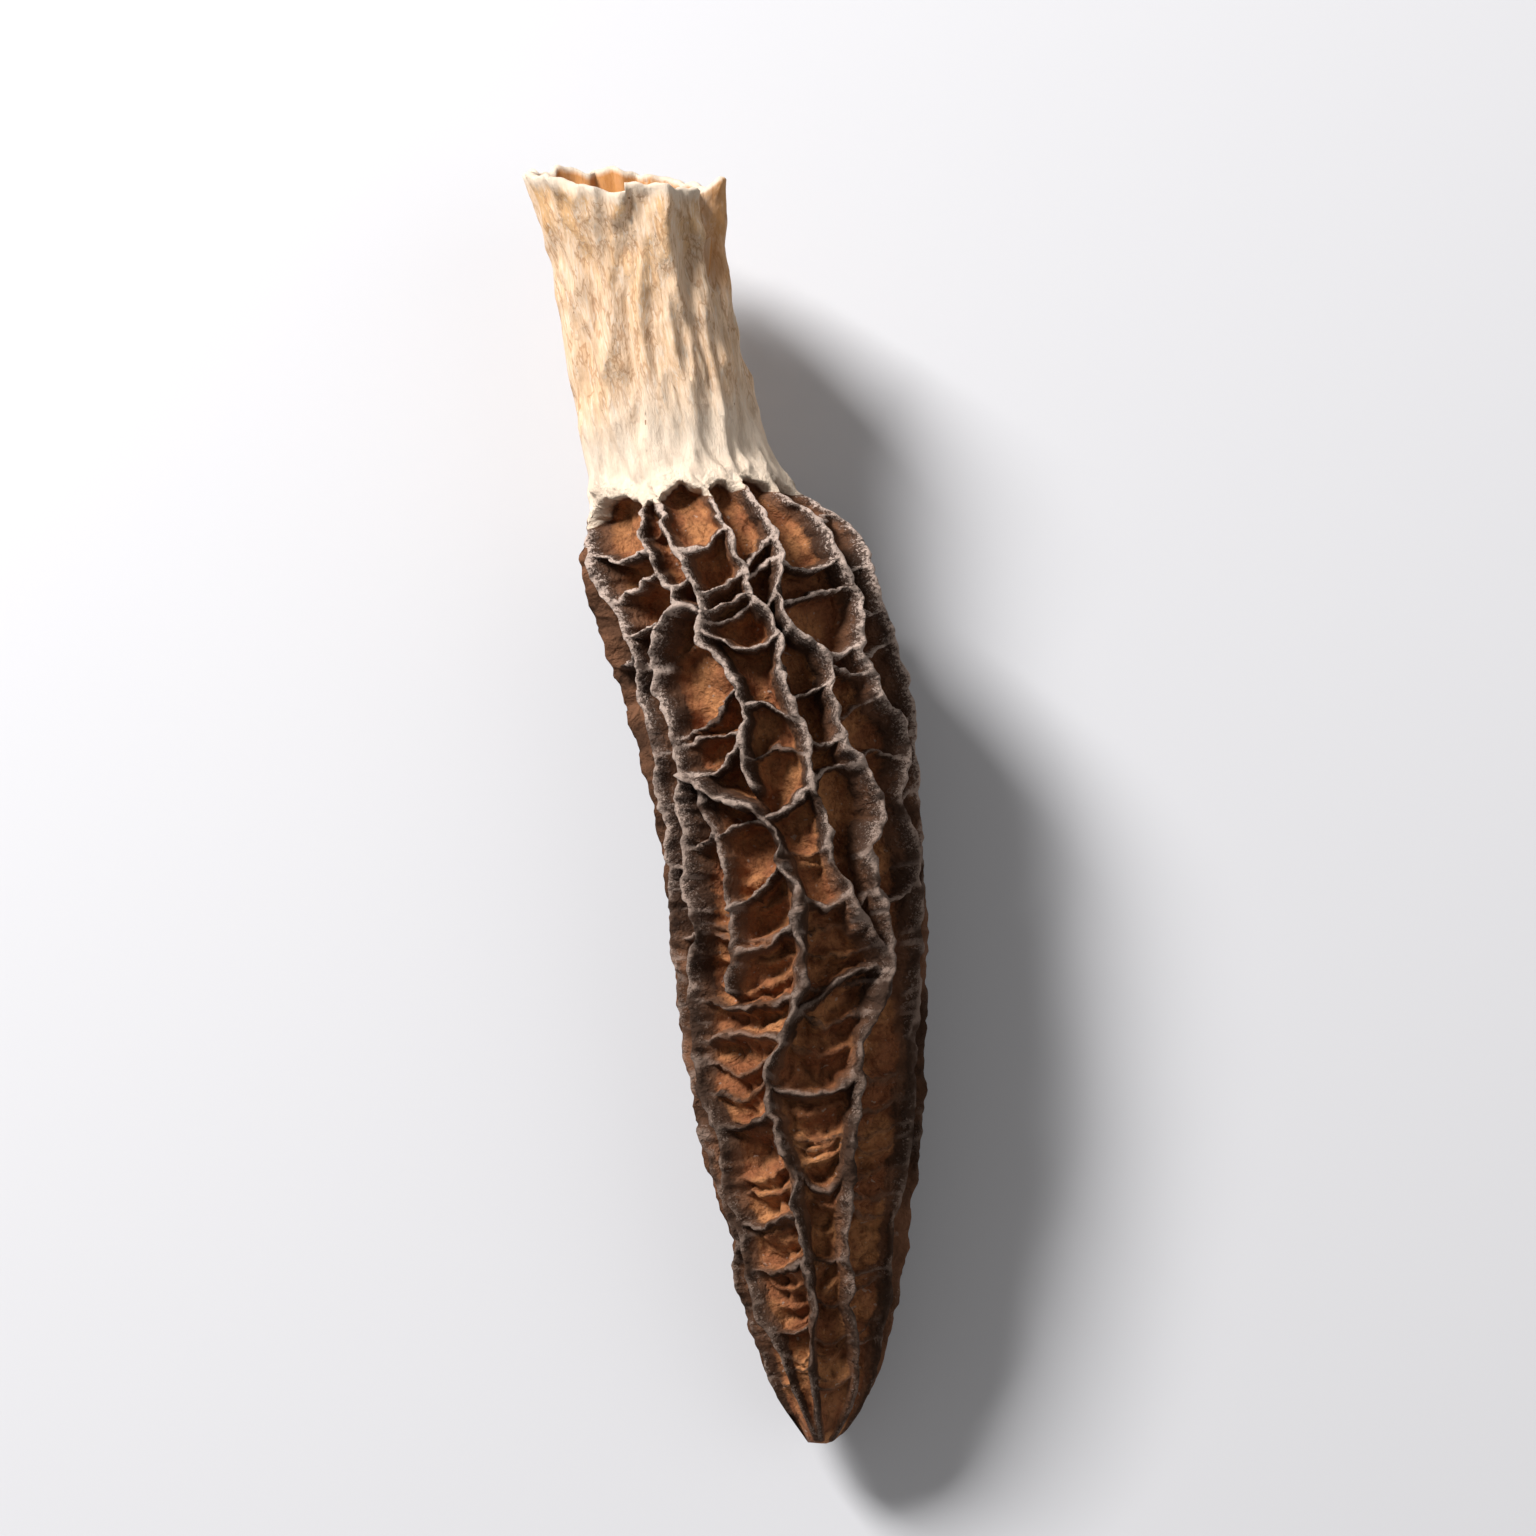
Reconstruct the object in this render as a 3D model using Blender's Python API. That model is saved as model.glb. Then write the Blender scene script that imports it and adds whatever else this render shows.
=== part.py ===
"""A dried morel: one hollow fruit body with a ribbed, pitted cap and a bare stem, lying on its side.

Metres, +Z up, with the ground at z = 0. The tip points towards -Y and the stem's open mouth towards +Y.
The origin is the centre of the body's box, on the ground. The body is drawn first as a straight turned
form along +Y, with its tip at the origin. Ribs and pits are then raised on it, and it is bent along its
centreline and laid down on its lower ribs.
"""

import math

import bmesh
import bpy
from mathutils import Matrix, Vector

# Lengths along the body, from the tip.
CAP_LENGTH = 0.0560
STEM_LENGTH = 0.0190
TOTAL_LENGTH = CAP_LENGTH + STEM_LENGTH

# Crest radius against distance from the tip.
OUTLINE = (
    (0.0000, 0.0000),
    (0.0015, 0.0018),
    (0.0070, 0.0041),
    (0.0130, 0.0055),
    (0.0220, 0.0069),
    (0.0340, 0.0077),
    (0.0410, 0.0081),
    (0.0480, 0.0088),
    (0.0530, 0.0082),
    (0.0560, 0.0061),
    (0.0620, 0.0053),
    (0.0690, 0.0051),
    (0.0750, 0.0057),
)

# Ribs and pits of the cap.
RIBS = 12
RIB_DEPTH = 0.0018
RIB_DEPTH_OF_RADIUS = 0.28
RIB_WANDER = math.radians(4.0)
RIB_WAVE_LENGTH = 0.037
CROSS_WALL_HEIGHT = 0.7
CROSS_WALL_RINGS = 3
PITS_START = 0.0040
PITS_END = 0.0560
PITS_FADE = 0.0035

# One rib and the pit beside it, as shares of the turn between two ribs, with their height.
RIB_SPOKES = (
    (-0.07, 1.0),
    (0.07, 1.0),
    (0.22, 0.22),
    (0.40, 0.0),
    (0.60, 0.0),
    (0.78, 0.22),
)
AROUND = RIBS * len(RIB_SPOKES)

# The hollow and the wall round it.
WALL = 0.0009
BORE_END = 0.0095
BORE_ROUND = 0.0060
RIM_RISE = 0.0004

# The stem is cut aslant: its upper side and its +X side are the shorter ones.
CUT_SLANT = math.radians(11.0)
CUT_SKEW = math.radians(11.0)
CUT_FADE = 0.0100

# Spacing of the rings of vertices.
CAP_RING = 0.0015
STEM_RING = 0.0028
BORE_RINGS = 9

# Direction of the centreline: (distance from the tip, rise above level), then (distance, turn to -X).
PITCH = (
    (0.0000, math.radians(14.0)),
    (0.0250, math.radians(4.0)),
    (0.0480, math.radians(4.0)),
    (0.0560, math.radians(6.0)),
    (0.0750, math.radians(10.0)),
)
YAW = (
    (0.0000, math.radians(-12.0)),
    (0.0080, math.radians(-6.0)),
    (0.0280, math.radians(-5.5)),
    (0.0400, math.radians(-2.0)),
    (0.0750, math.radians(-2.0)),
)

# The stem grows out of the cap off centre: sideways offset towards -X against distance.
OFFSET = (
    (0.0000, 0.0000),
    (0.0400, 0.0000),
    (0.0460, 0.0004),
    (0.0520, 0.0018),
    (0.0570, 0.0035),
    (0.0630, 0.0039),
    (0.0690, 0.0042),
    (0.0750, 0.0047),
)
CENTRELINE_STEPS = 200

# How far the lowest crests are pressed flat where they meet the ground.
CONTACT_FLAT = 0.00045

MERGE = 0.000001


def smooth(share):
    """Ease a share of 0 to 1 in and out."""
    share = min(max(share, 0.0), 1.0)
    return share * share * (3.0 - 2.0 * share)


def along(points, s):
    """Read a curve of (distance, value) points at distance s, with no corners at its points."""
    last = len(points) - 1
    if s <= points[0][0]:
        return points[0][1]
    if s >= points[last][0]:
        return points[last][1]
    i = next(k for k in range(last) if points[k + 1][0] >= s)
    (s0, v0), (s1, v1) = points[i], points[i + 1]
    before, after = points[max(i - 1, 0)], points[min(i + 2, last)]
    span = s1 - s0
    slope0 = (v1 - before[1]) / (s1 - before[0]) if i else (v1 - v0) / span
    slope1 = (after[1] - v0) / (after[0] - s0)
    t = (s - s0) / span
    return (
        v0 * (1 + 2 * t) * (1 - t) ** 2
        + slope0 * span * t * (1 - t) ** 2
        + v1 * t * t * (3 - 2 * t)
        + slope1 * span * t * t * (t - 1)
    )


def rib_depth(s):
    """Depth from the crests to the pit floors, which fades out at the tip and at the collar."""
    fade = smooth((s - PITS_START + PITS_FADE) / PITS_FADE) * smooth((PITS_END - s) / PITS_FADE)
    return min(RIB_DEPTH, RIB_DEPTH_OF_RADIUS * along(OUTLINE, s)) * fade


def bore_radius(s):
    """Radius of the hollow, which closes to a rounded end inside the cap."""
    radius = along(OUTLINE, s) - rib_depth(s) - WALL
    into_end = min(max((BORE_END + BORE_ROUND - s) / BORE_ROUND, 0.0), 1.0)
    return radius * math.sqrt(1.0 - into_end * into_end)


def half_section():
    """Points (radius, distance from the tip) from the tip, out over the rim and back down the hollow."""
    cap_rings = round(CAP_LENGTH / CAP_RING)
    stem_rings = round(STEM_LENGTH / STEM_RING)
    stations = [CAP_LENGTH * i / cap_rings for i in range(cap_rings)]
    stations += [CAP_LENGTH + STEM_LENGTH * i / stem_rings for i in range(stem_rings + 1)]
    outer = [(along(OUTLINE, s), s) for s in stations]
    rim_radius = along(OUTLINE, TOTAL_LENGTH) - WALL / 2
    rim = [(rim_radius, TOTAL_LENGTH + RIM_RISE)]
    inner = []
    for i in range(BORE_RINGS + 1):
        share = i / BORE_RINGS
        s = TOTAL_LENGTH - (TOTAL_LENGTH - BORE_END) * share
        inner.append((bore_radius(s), s))
    return outer + rim + inner


def turned_body():
    """Spin the half section into a closed body of revolution round +Y."""
    bm = bmesh.new()
    chain = [bm.verts.new((0.0, s, -r)) for r, s in half_section()]
    edges = [bm.edges.new(pair) for pair in zip(chain, chain[1:])]
    bmesh.ops.spin(
        bm,
        geom=chain + edges,
        cent=(0.0, 0.0, 0.0),
        axis=(0.0, 1.0, 0.0),
        angle=math.tau,
        steps=AROUND,
        use_merge=True,
    )
    bmesh.ops.remove_doubles(bm, verts=bm.verts, dist=MERGE)
    bmesh.ops.recalc_face_normals(bm, faces=bm.faces)
    return bm


def pit_height(rib, place, s):
    """Height, from 0 at a pit floor to 1 at a crest, of one spoke of a rib at distance s."""
    height = RIB_SPOKES[place][1]
    ring = round(s / CAP_RING)
    stagger = 2 * rib % CROSS_WALL_RINGS
    if (ring + stagger) % CROSS_WALL_RINGS == 0:
        height = max(height, CROSS_WALL_HEIGHT)
    return height


def raise_ribs(bm):
    """Press pits between the ribs of the outer skin, and let each rib wander a little sideways."""
    for vert in bm.verts:
        s = vert.co.y
        radius = math.hypot(vert.co.x, vert.co.z)
        if radius < MERGE:
            continue
        angle = math.atan2(vert.co.x, -vert.co.z)
        spoke = round(angle / math.tau * AROUND) % AROUND
        rib, place = divmod(spoke, len(RIB_SPOKES))
        turn = rib + 0.5 + RIB_SPOKES[place][0]
        wander = RIB_WANDER * math.sin(math.tau * (s / RIB_WAVE_LENGTH + rib * rib / RIBS))
        wander *= min(rib_depth(s) / RIB_DEPTH, 1.0)
        outside = radius > along(OUTLINE, s) - WALL / 4
        if outside:
            radius -= rib_depth(s) * (1.0 - pit_height(rib, place, s))
        theta = math.tau * turn / RIBS + wander
        vert.co = Vector((radius * math.sin(theta), s, -radius * math.cos(theta)))


def slant_mouth(bm):
    """Shorten the stem's upper and +X sides towards its mouth, so that the cut faces a little upwards."""
    for vert in bm.verts:
        share = smooth((vert.co.y - TOTAL_LENGTH + CUT_FADE) / CUT_FADE)
        vert.co.y -= (vert.co.z * math.tan(CUT_SLANT) + vert.co.x * math.tan(CUT_SKEW)) * share


def centreline():
    """Points and turning frames at even steps along the bent centreline, from the tip."""
    step = (TOTAL_LENGTH + CUT_FADE) / CENTRELINE_STEPS
    point = Vector((0.0, 0.0, 0.0))
    frames = []
    for i in range(CENTRELINE_STEPS + 1):
        s = step * i
        turn = Matrix.Rotation(along(YAW, s), 3, "Z") @ Matrix.Rotation(along(PITCH, s), 3, "X")
        frames.append((point.copy(), turn))
        point += turn @ Vector((0.0, step, 0.0))
    return step, frames


def bend(bm):
    """Set each ring off sideways, and bend the straight body so that it follows its centreline."""
    step, frames = centreline()
    for vert in bm.verts:
        place = vert.co.y / step
        i = min(int(place), CENTRELINE_STEPS - 1)
        share = place - i
        (p0, turn0), (p1, turn1) = frames[i], frames[i + 1]
        across = Vector((vert.co.x - along(OFFSET, vert.co.y), 0.0, vert.co.z))
        vert.co = (p0 + turn0 @ across).lerp(p1 + turn1 @ across, share)


def lay_down(bm):
    """Rest the body on z = 0 over the origin, with its lowest crests pressed flat on the ground."""
    lows = [min(v.co[axis] for v in bm.verts) for axis in range(3)]
    highs = [max(v.co[axis] for v in bm.verts) for axis in range(3)]
    shift = Vector((-(lows[0] + highs[0]) / 2, -(lows[1] + highs[1]) / 2, -lows[2] - CONTACT_FLAT))
    bmesh.ops.translate(bm, verts=bm.verts, vec=shift)
    for vert in bm.verts:
        vert.co.z = max(vert.co.z, 0.0)


def flesh_material():
    """Matt brown dried flesh."""
    material = bpy.data.materials.new("dried_flesh")
    material.use_nodes = True
    shader = material.node_tree.nodes["Principled BSDF"]
    shader.inputs["Base Color"].default_value = (0.2, 0.11, 0.06, 1.0)
    shader.inputs["Roughness"].default_value = 0.75
    shader.inputs["Metallic"].default_value = 0.0
    return material


def build_morel():
    """Make the morel's object from its turned, ribbed and bent body."""
    bm = turned_body()
    raise_ribs(bm)
    slant_mouth(bm)
    bend(bm)
    lay_down(bm)
    bmesh.ops.triangulate(bm, faces=bm.faces)
    mesh = bpy.data.meshes.new("dried_morel")
    bm.to_mesh(mesh)
    bm.free()
    mesh.shade_smooth()
    mesh.materials.append(flesh_material())
    morel = bpy.data.objects.new("dried_morel", mesh)
    bpy.context.scene.collection.objects.link(morel)
    return morel


def main():
    """Clear the scene and build the morel."""
    for old in list(bpy.data.objects):
        bpy.data.objects.remove(old, do_unlink=True)
    build_morel()


main()
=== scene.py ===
"""The looks of a dried morel that lies on its side: a ribbed, pitted cap and a bare hollow stem."""

import logging
import math
from dataclasses import dataclass, field
from enum import Enum

import bmesh
import bpy
import numpy as np
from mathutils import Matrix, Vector

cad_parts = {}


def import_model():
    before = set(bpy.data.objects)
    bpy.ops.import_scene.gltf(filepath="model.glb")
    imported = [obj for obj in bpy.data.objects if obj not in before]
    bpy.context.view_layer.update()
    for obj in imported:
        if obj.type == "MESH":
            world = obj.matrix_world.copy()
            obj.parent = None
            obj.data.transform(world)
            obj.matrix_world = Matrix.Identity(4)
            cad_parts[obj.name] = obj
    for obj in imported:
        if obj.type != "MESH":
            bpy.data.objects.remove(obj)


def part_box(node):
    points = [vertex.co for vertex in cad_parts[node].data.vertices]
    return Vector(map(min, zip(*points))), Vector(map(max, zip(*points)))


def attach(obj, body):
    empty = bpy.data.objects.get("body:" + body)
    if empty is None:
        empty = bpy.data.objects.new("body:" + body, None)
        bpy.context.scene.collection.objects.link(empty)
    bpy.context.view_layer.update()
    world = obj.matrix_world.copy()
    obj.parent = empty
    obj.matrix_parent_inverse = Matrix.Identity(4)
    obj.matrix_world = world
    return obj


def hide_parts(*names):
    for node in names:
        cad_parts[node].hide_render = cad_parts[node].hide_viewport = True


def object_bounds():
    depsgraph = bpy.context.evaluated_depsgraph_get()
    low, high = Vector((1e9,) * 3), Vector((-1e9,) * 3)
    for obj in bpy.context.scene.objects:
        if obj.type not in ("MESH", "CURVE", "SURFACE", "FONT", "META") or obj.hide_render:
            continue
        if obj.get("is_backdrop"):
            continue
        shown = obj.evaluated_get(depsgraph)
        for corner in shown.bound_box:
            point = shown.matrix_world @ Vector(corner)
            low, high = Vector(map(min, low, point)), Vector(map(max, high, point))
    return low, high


LOG = logging.getLogger("dried_morel")
MM = 0.001
MM_PER_DEGREE = 0.13
Curve = tuple[tuple[float, float], ...]
Triple = tuple[float, float, float]
Marks = dict[str, np.ndarray]
Socket = bpy.types.NodeSocket


def smooth(share: np.ndarray) -> np.ndarray:
    """Ease shares of 0 to 1 in and out.

    Args:
        share: Values that are cut to 0 to 1 first.

    Returns:
        The eased shares.
    """
    share = np.clip(share, 0.0, 1.0)
    return share * share * (3.0 - 2.0 * share)


def read_curve(points: Curve, at: np.ndarray) -> np.ndarray:
    """Read a smooth curve through (place, value) points.

    Args:
        points: The curve's points, in rising order of place.
        at: Places to read it at.

    Returns:
        The values there, level beyond both ends.
    """
    x = np.array([p[0] for p in points], float)
    y = np.array([p[1] for p in points], float)
    slope = np.gradient(y, x)
    at = np.clip(at, x[0], x[-1])
    i = np.clip(np.searchsorted(x, at) - 1, 0, len(x) - 2)
    span = x[i + 1] - x[i]
    t = (at - x[i]) / span
    start = (1 + 2 * t) * (1 - t) ** 2
    end = t * t * (3 - 2 * t)
    lift = slope[i] * t * (1 - t) ** 2 - slope[i + 1] * t * t * (1 - t)
    return y[i] * start + y[i + 1] * end + span * lift


class Noise:
    """Smooth gradient noise in space, the same in every run."""

    CELLS = 256

    def __init__(self, seed: int) -> None:
        """Draw the lattice.

        Args:
            seed: Number that picks the pattern.
        """
        rng = np.random.default_rng(seed)
        self.shuffle = np.tile(rng.permutation(self.CELLS), 2)
        steps = rng.normal(size=(self.CELLS, 3))
        self.slopes = steps / np.linalg.norm(steps, axis=1, keepdims=True)

    def at(self, points: np.ndarray, size: float | np.ndarray) -> np.ndarray:
        """Read the noise.

        Args:
            points: Places, as rows of x, y, z.
            size: Width of one lump, or its width along each axis.

        Returns:
            One value of about -0.7 to 0.7 for each place.
        """
        scaled = points / size
        cell = np.floor(scaled).astype(np.int64)
        within = scaled - cell
        ease = within**3 * (within * (within * 6 - 15) + 10)
        total = np.zeros(len(points))
        for corner in np.ndindex(2, 2, 2):
            key = cell + corner
            code = self.shuffle[key[:, 0] % self.CELLS]
            code = self.shuffle[(code + key[:, 1]) % self.CELLS]
            code = self.shuffle[(code + key[:, 2]) % self.CELLS]
            weight = np.prod(np.where(np.array(corner) == 1, ease, 1 - ease), axis=1)
            total += weight * np.einsum("ij,ij->i", self.slopes[code], within - corner)
        return total


@dataclass(frozen=True)
class Growth:
    """The plain form under the ribs: lengths in metres from the tip, angles in degrees."""

    length: float = 0.0750
    wall: float = 0.0009
    pits_end: float = 0.0578
    pits_fade: float = 0.0026
    bore_clearance: float = 1.2
    hollow_end: float = 0.0095
    hollow_round: float = 0.0060
    cut_slant: float = 11.0
    cut_skew: float = 11.0
    cut_fade: float = 0.0100
    outline: Curve = (
        (0.0000, 0.0000),
        (0.0002, 0.0006),
        (0.0007, 0.0012),
        (0.0016, 0.0019),
        (0.0070, 0.0041),
        (0.0130, 0.0055),
        (0.0220, 0.0069),
        (0.0340, 0.0077),
        (0.0410, 0.0081),
        (0.0480, 0.0088),
        (0.0530, 0.0082),
        (0.0560, 0.0059),
        (0.0620, 0.0051),
        (0.0690, 0.0049),
        (0.0730, 0.0051),
        (0.0750, 0.0056),
    )
    depth: Curve = (
        (0.0000, 0.0001),
        (0.0030, 0.0010),
        (0.0100, 0.0020),
        (0.0200, 0.0024),
        (0.0300, 0.0028),
        (0.0450, 0.0029),
        (0.0530, 0.0027),
        (0.0575, 0.0016),
    )
    pitch: Curve = ((0.0, 14.0), (0.025, 4.0), (0.048, 4.0), (0.056, 6.0), (0.0750, 10.0))
    yaw: Curve = ((0.0, -12.0), (0.008, -6.0), (0.028, -5.5), (0.040, -2.0), (0.0750, -2.0))
    aside: Curve = (
        (0.0000, 0.0000),
        (0.0400, 0.0000),
        (0.0430, 0.0001),
        (0.0460, 0.0004),
        (0.0490, 0.0009),
        (0.0520, 0.0018),
        (0.0570, 0.0035),
        (0.0630, 0.0039),
        (0.0690, 0.0042),
        (0.0750, 0.0047),
    )
    steps: int = 400

    def radius(self, s: np.ndarray) -> np.ndarray:
        """Radius of the crests at distances s from the tip."""
        return np.maximum(read_curve(self.outline, s), 0.0)

    def bore(self, s: float) -> float:
        """Radius of the hollow, before its end closes.

        Args:
            s: Distance from the tip.

        Returns:
            The radius.
        """
        at = np.array([s])
        depth = read_curve(self.depth, at) * smooth((self.pits_end - at) / self.pits_fade)
        return float((self.radius(at) - depth * self.bore_clearance)[0]) - self.wall

    def bend(self, straight: np.ndarray) -> np.ndarray:
        """Bend a straight form round the Y axis so that it follows the centreline.

        Args:
            straight: Points as rows of x, y, z, with the tip at the origin.

        Returns:
            The bent points.
        """
        straight = straight.copy()
        straight[:, 0] -= read_curve(self.aside, straight[:, 1])
        step = (self.length + self.cut_fade) / self.steps
        at = np.arange(self.steps + 1) * step
        pitch = np.radians(read_curve(self.pitch, at))
        yaw = np.radians(read_curve(self.yaw, at))
        ahead = np.stack(
            (-np.sin(yaw) * np.cos(pitch), np.cos(yaw) * np.cos(pitch), np.sin(pitch)), axis=1
        )
        side = np.stack((np.cos(yaw), np.sin(yaw), np.zeros_like(yaw)), axis=1)
        up = np.cross(side, ahead)
        spine = np.vstack((np.zeros(3), np.cumsum(ahead[:-1] * step, axis=0)))
        place = np.clip(straight[:, 1] / step, 0.0, self.steps - 1e-6)
        i = place.astype(int)
        share = (place - i)[:, None]
        bent = []
        for k in (i, i + 1):
            bent.append(spine[k] + side[k] * straight[:, :1] + up[k] * straight[:, 2:])
        below = np.minimum(straight[:, 1:2], 0.0) * ahead[0]
        return bent[0] * (1 - share) + bent[1] * share + below


@dataclass(frozen=True)
class Rib:
    """A crest that runs lengthwise: points (millimetres from the tip, degrees from the top)."""

    name: str
    points: Curve
    height: float = 1.0

    def turn(self, s: float) -> float:
        """Turn of the rib, in degrees, at s millimetres from the tip."""
        rising = tuple(sorted(self.points))
        return float(np.interp(s, [p[0] for p in rising], [p[1] for p in rising]))


@dataclass(frozen=True)
class CrossWall:
    """A lower wall between two ribs: its millimetres from the tip at both, its sag and its height."""

    left: str
    right: str
    start: float
    end: float
    sag: float
    height: float


SEEN_RIBS = (
    Rib("left_edge", (
        (56, -80), (54, -73), (51.5, -65), (48, -62), (46, -60), (43, -63), (39, -66), (33, -73),
        (28, -80), (22, -84), (16, -76), (12, -72), (7, -82), (2, -80),
    )),
    Rib("left", (
        (47.9, -22), (48.2, -32), (46.9, -40), (45.6, -46), (44.5, -50), (43, -48), (41.5, -49),
        (39, -48), (36, -52), (30, -56), (25.5, -66), (20, -70), (18, -60), (14, -62), (10, -58),
        (6.5, -45), (3, -35), (0.6, -20),
    )),
    Rib("left_loop", (
        (56, -27), (53.5, -30), (51.5, -31), (49.5, -31), (48.3, -28), (47.9, -22),
    ), 0.95),
    Rib("inner_left", (
        (56, -21), (53.3, -20), (51.2, -19), (48.1, -20), (46, -22), (44, -17), (42, -13), (40.3, -19),
        (39, -17), (37.2, -14),
    )),
    Rib("middle", (
        (39.2, -48), (38, -38), (37, -27), (36.4, -18), (35, -11), (33, -5), (31, -1), (28.5, 0),
        (24.5, -5), (22.5, -15), (20.5, -22), (18.5, -21), (16.5, -13), (14.5, -11), (12, -12),
        (8, -10), (4, -12), (0.6, -6),
    ), 1.10),
    Rib("centre", (
        (56, 6), (53.2, 4), (51.6, 3), (49.6, 0), (48.4, 1), (46.6, 6), (45, 5), (43.4, 4), (41.1, 6),
        (39.2, 10), (37.5, 12), (36, 16), (33.5, 18), (31.5, 22), (29, 30), (27.3, 44),
    )),
    Rib("right", (
        (56, 31), (53.7, 25), (52, 22), (50.3, 18), (48.6, 13), (47, 10.5), (45.9, 13), (45, 20),
        (43.6, 24), (41.5, 23), (40, 27), (38.5, 31), (37.3, 39), (35.7, 41), (34, 36), (31.5, 37),
        (29, 43), (27.2, 46), (25, 38), (22, 30), (20, 27), (16.5, 21), (13, 18), (10, 18), (7, 25),
        (4, 36), (0.6, 40),
    ), 1.10),
    Rib("far_right", (
        (56, 56), (54.3, 51), (52.6, 50), (51.2, 43), (50, 42), (48.2, 47), (45.5, 45), (43.3, 44),
        (41.5, 51), (40.4, 64), (38, 64), (35.7, 58), (33.5, 66), (30.5, 74), (25.5, 71), (21, 65),
        (18, 67), (16, 62), (13, 53), (10, 55), (7, 60), (4, 68), (0.6, 75),
    )),
    Rib("right_edge", (
        (56, 82), (53.5, 77), (52.2, 74), (50.2, 63), (47.5, 61), (46, 67), (44.3, 72), (42.2, 80),
        (39, 82), (34.5, 85), (28, 91), (22, 91), (18, 89), (12, 94), (8, 88), (3, 95),
    )),
    Rib("left_fork", (
        (38.5, -43), (36.5, -42), (34, -36), (31, -34), (28, -36), (26, -42),
    ), 0.8),
)

# Walls between two ribs: distance from the tip at both, sag and height, as in CrossWall.
SEEN_WALLS = {
    ("left_edge", "left_loop"): (
        (52.6, 51.9, 0.3, 0.95), (49.8, 50.4, -0.3, 0.85),
    ),
    ("left_edge", "left"): (
        (47.3, 48.1, 0.0, 0.95), (45.5, 45.0, 0.2, 0.8), (40.5, 40.9, 0.2, 0.6), (37.4, 37.9, 0.2, 0.8),
        (33.8, 34.4, 0.3, 0.9), (29.5, 29.8, 0.3, 0.8), (24.6, 25.2, 0.3, 0.8), (20.5, 20.2, 0.1, 0.6),
    ),
    ("left_loop", "inner_left"): (
        (49.4, 49.5, -0.2, 0.85), (52.6, 53.0, -0.2, 0.5),
    ),
    ("left", "inner_left"): (
        (44.6, 45.4, -0.9, 0.40), (41.0, 43.2, 0.5, 0.65), (40.3, 40.5, -0.3, 0.70),
        (39.3, 40.2, 1.0, 0.9),
    ),
    ("inner_left", "centre"): (
        (51.5, 52.9, 0.6, 0.9), (48.8, 50.0, 0.3, 0.95), (47.9, 48.7, 0.1, 0.9), (47.2, 48.2, 0.4, 0.7),
        (46.8, 46.3, 1.2, 1.0), (41.9, 40.2, -0.5, 0.95), (38.9, 38.6, -0.4, 0.6),
    ),
    ("middle", "centre"): (
        (35.4, 36.9, 0.1, 0.9), (33.4, 33.6, 0.4, 0.5), (31.0, 31.0, 0.8, 0.85),
        (28.6, 29.2, -0.3, 0.5),
    ),
    ("middle", "right"): (
        (23.6, 26.6, -0.7, 0.9), (20.2, 20.8, 0.4, 0.95), (18.0, 17.8, 0.3, 0.5),
        (16.2, 16.0, 1.6, 0.8), (11.4, 11.0, 0.5, 0.7), (8.9, 8.7, 0.4, 0.6), (6.6, 6.7, 0.4, 0.6),
        (4.4, 4.4, 0.3, 0.5),
    ),
    ("left", "left_fork"): (
        (34.6, 35.0, 0.2, 0.9), (30.0, 29.6, 0.4, 0.6),
    ),
    ("left_fork", "middle"): (
        (34.6, 34.8, -0.8, 0.85), (30.6, 32.8, 0.2, 0.9), (28.2, 29.4, 0.4, 0.8),
    ),
    ("left", "middle"): (
        (25.6, 25.4, 0.4, 0.75), (23.2, 23.0, -0.4, 0.7), (18.6, 18.9, 0.2, 0.9),
        (13.0, 13.6, 0.3, 0.9), (10.6, 11.0, 0.2, 0.75), (7.0, 7.4, 0.4, 0.8), (4.8, 5.0, 0.3, 0.6),
    ),
    ("centre", "right"): (
        (50.0, 52.0, 0.0, 0.95), (49.4, 50.4, -0.1, 0.85), (47.6, 48.4, 0.2, 0.8),
        (45.6, 46.4, 0.3, 0.85), (42.0, 42.6, 0.1, 0.95), (39.4, 39.8, 0.3, 0.9),
        (37.0, 37.8, -0.7, 0.85), (31.0, 31.4, 1.1, 0.9),
    ),
    ("right", "far_right"): (
        (50.2, 50.4, 0.8, 1.0), (47.6, 48.3, -0.1, 0.9), (45.1, 44.7, 0.7, 0.9),
        (43.4, 43.0, -0.3, 0.85), (40.6, 42.2, 0.1, 0.6), (37.6, 38.4, -0.8, 0.7),
        (31.4, 31.8, 0.8, 0.9), (28.0, 28.6, 0.3, 0.5), (24.0, 24.4, 0.2, 0.4), (20.4, 20.8, 0.2, 0.5),
        (17.4, 18.4, 0.4, 0.5), (14.4, 14.2, 0.2, 0.55), (10.2, 10.4, 0.2, 0.8), (6.4, 6.6, 0.4, 0.7),
    ),
    ("far_right", "right_edge"): (
        (53.2, 53.2, 0.3, 0.9), (50.4, 50.0, 0.4, 0.9), (47.8, 47.0, 0.3, 0.9), (44.4, 45.4, 0.2, 0.9),
        (40.2, 40.6, 0.4, 0.8), (36.0, 37.0, 0.3, 0.9), (33.0, 33.6, 0.3, 0.95), (28.5, 28.0, 0.3, 0.8),
        (23.0, 23.6, 0.3, 0.8), (17.8, 17.0, 0.3, 0.8), (12.5, 12.0, 0.2, 0.8), (7.5, 7.8, 0.2, 0.7),
    ),
}

SEEN_FURROWS = (
    ("left_edge", "left"),
    ("left", "middle"),
    ("middle", "right"),
    ("right", "far_right"),
    ("far_right", "right_edge"),
)


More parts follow.
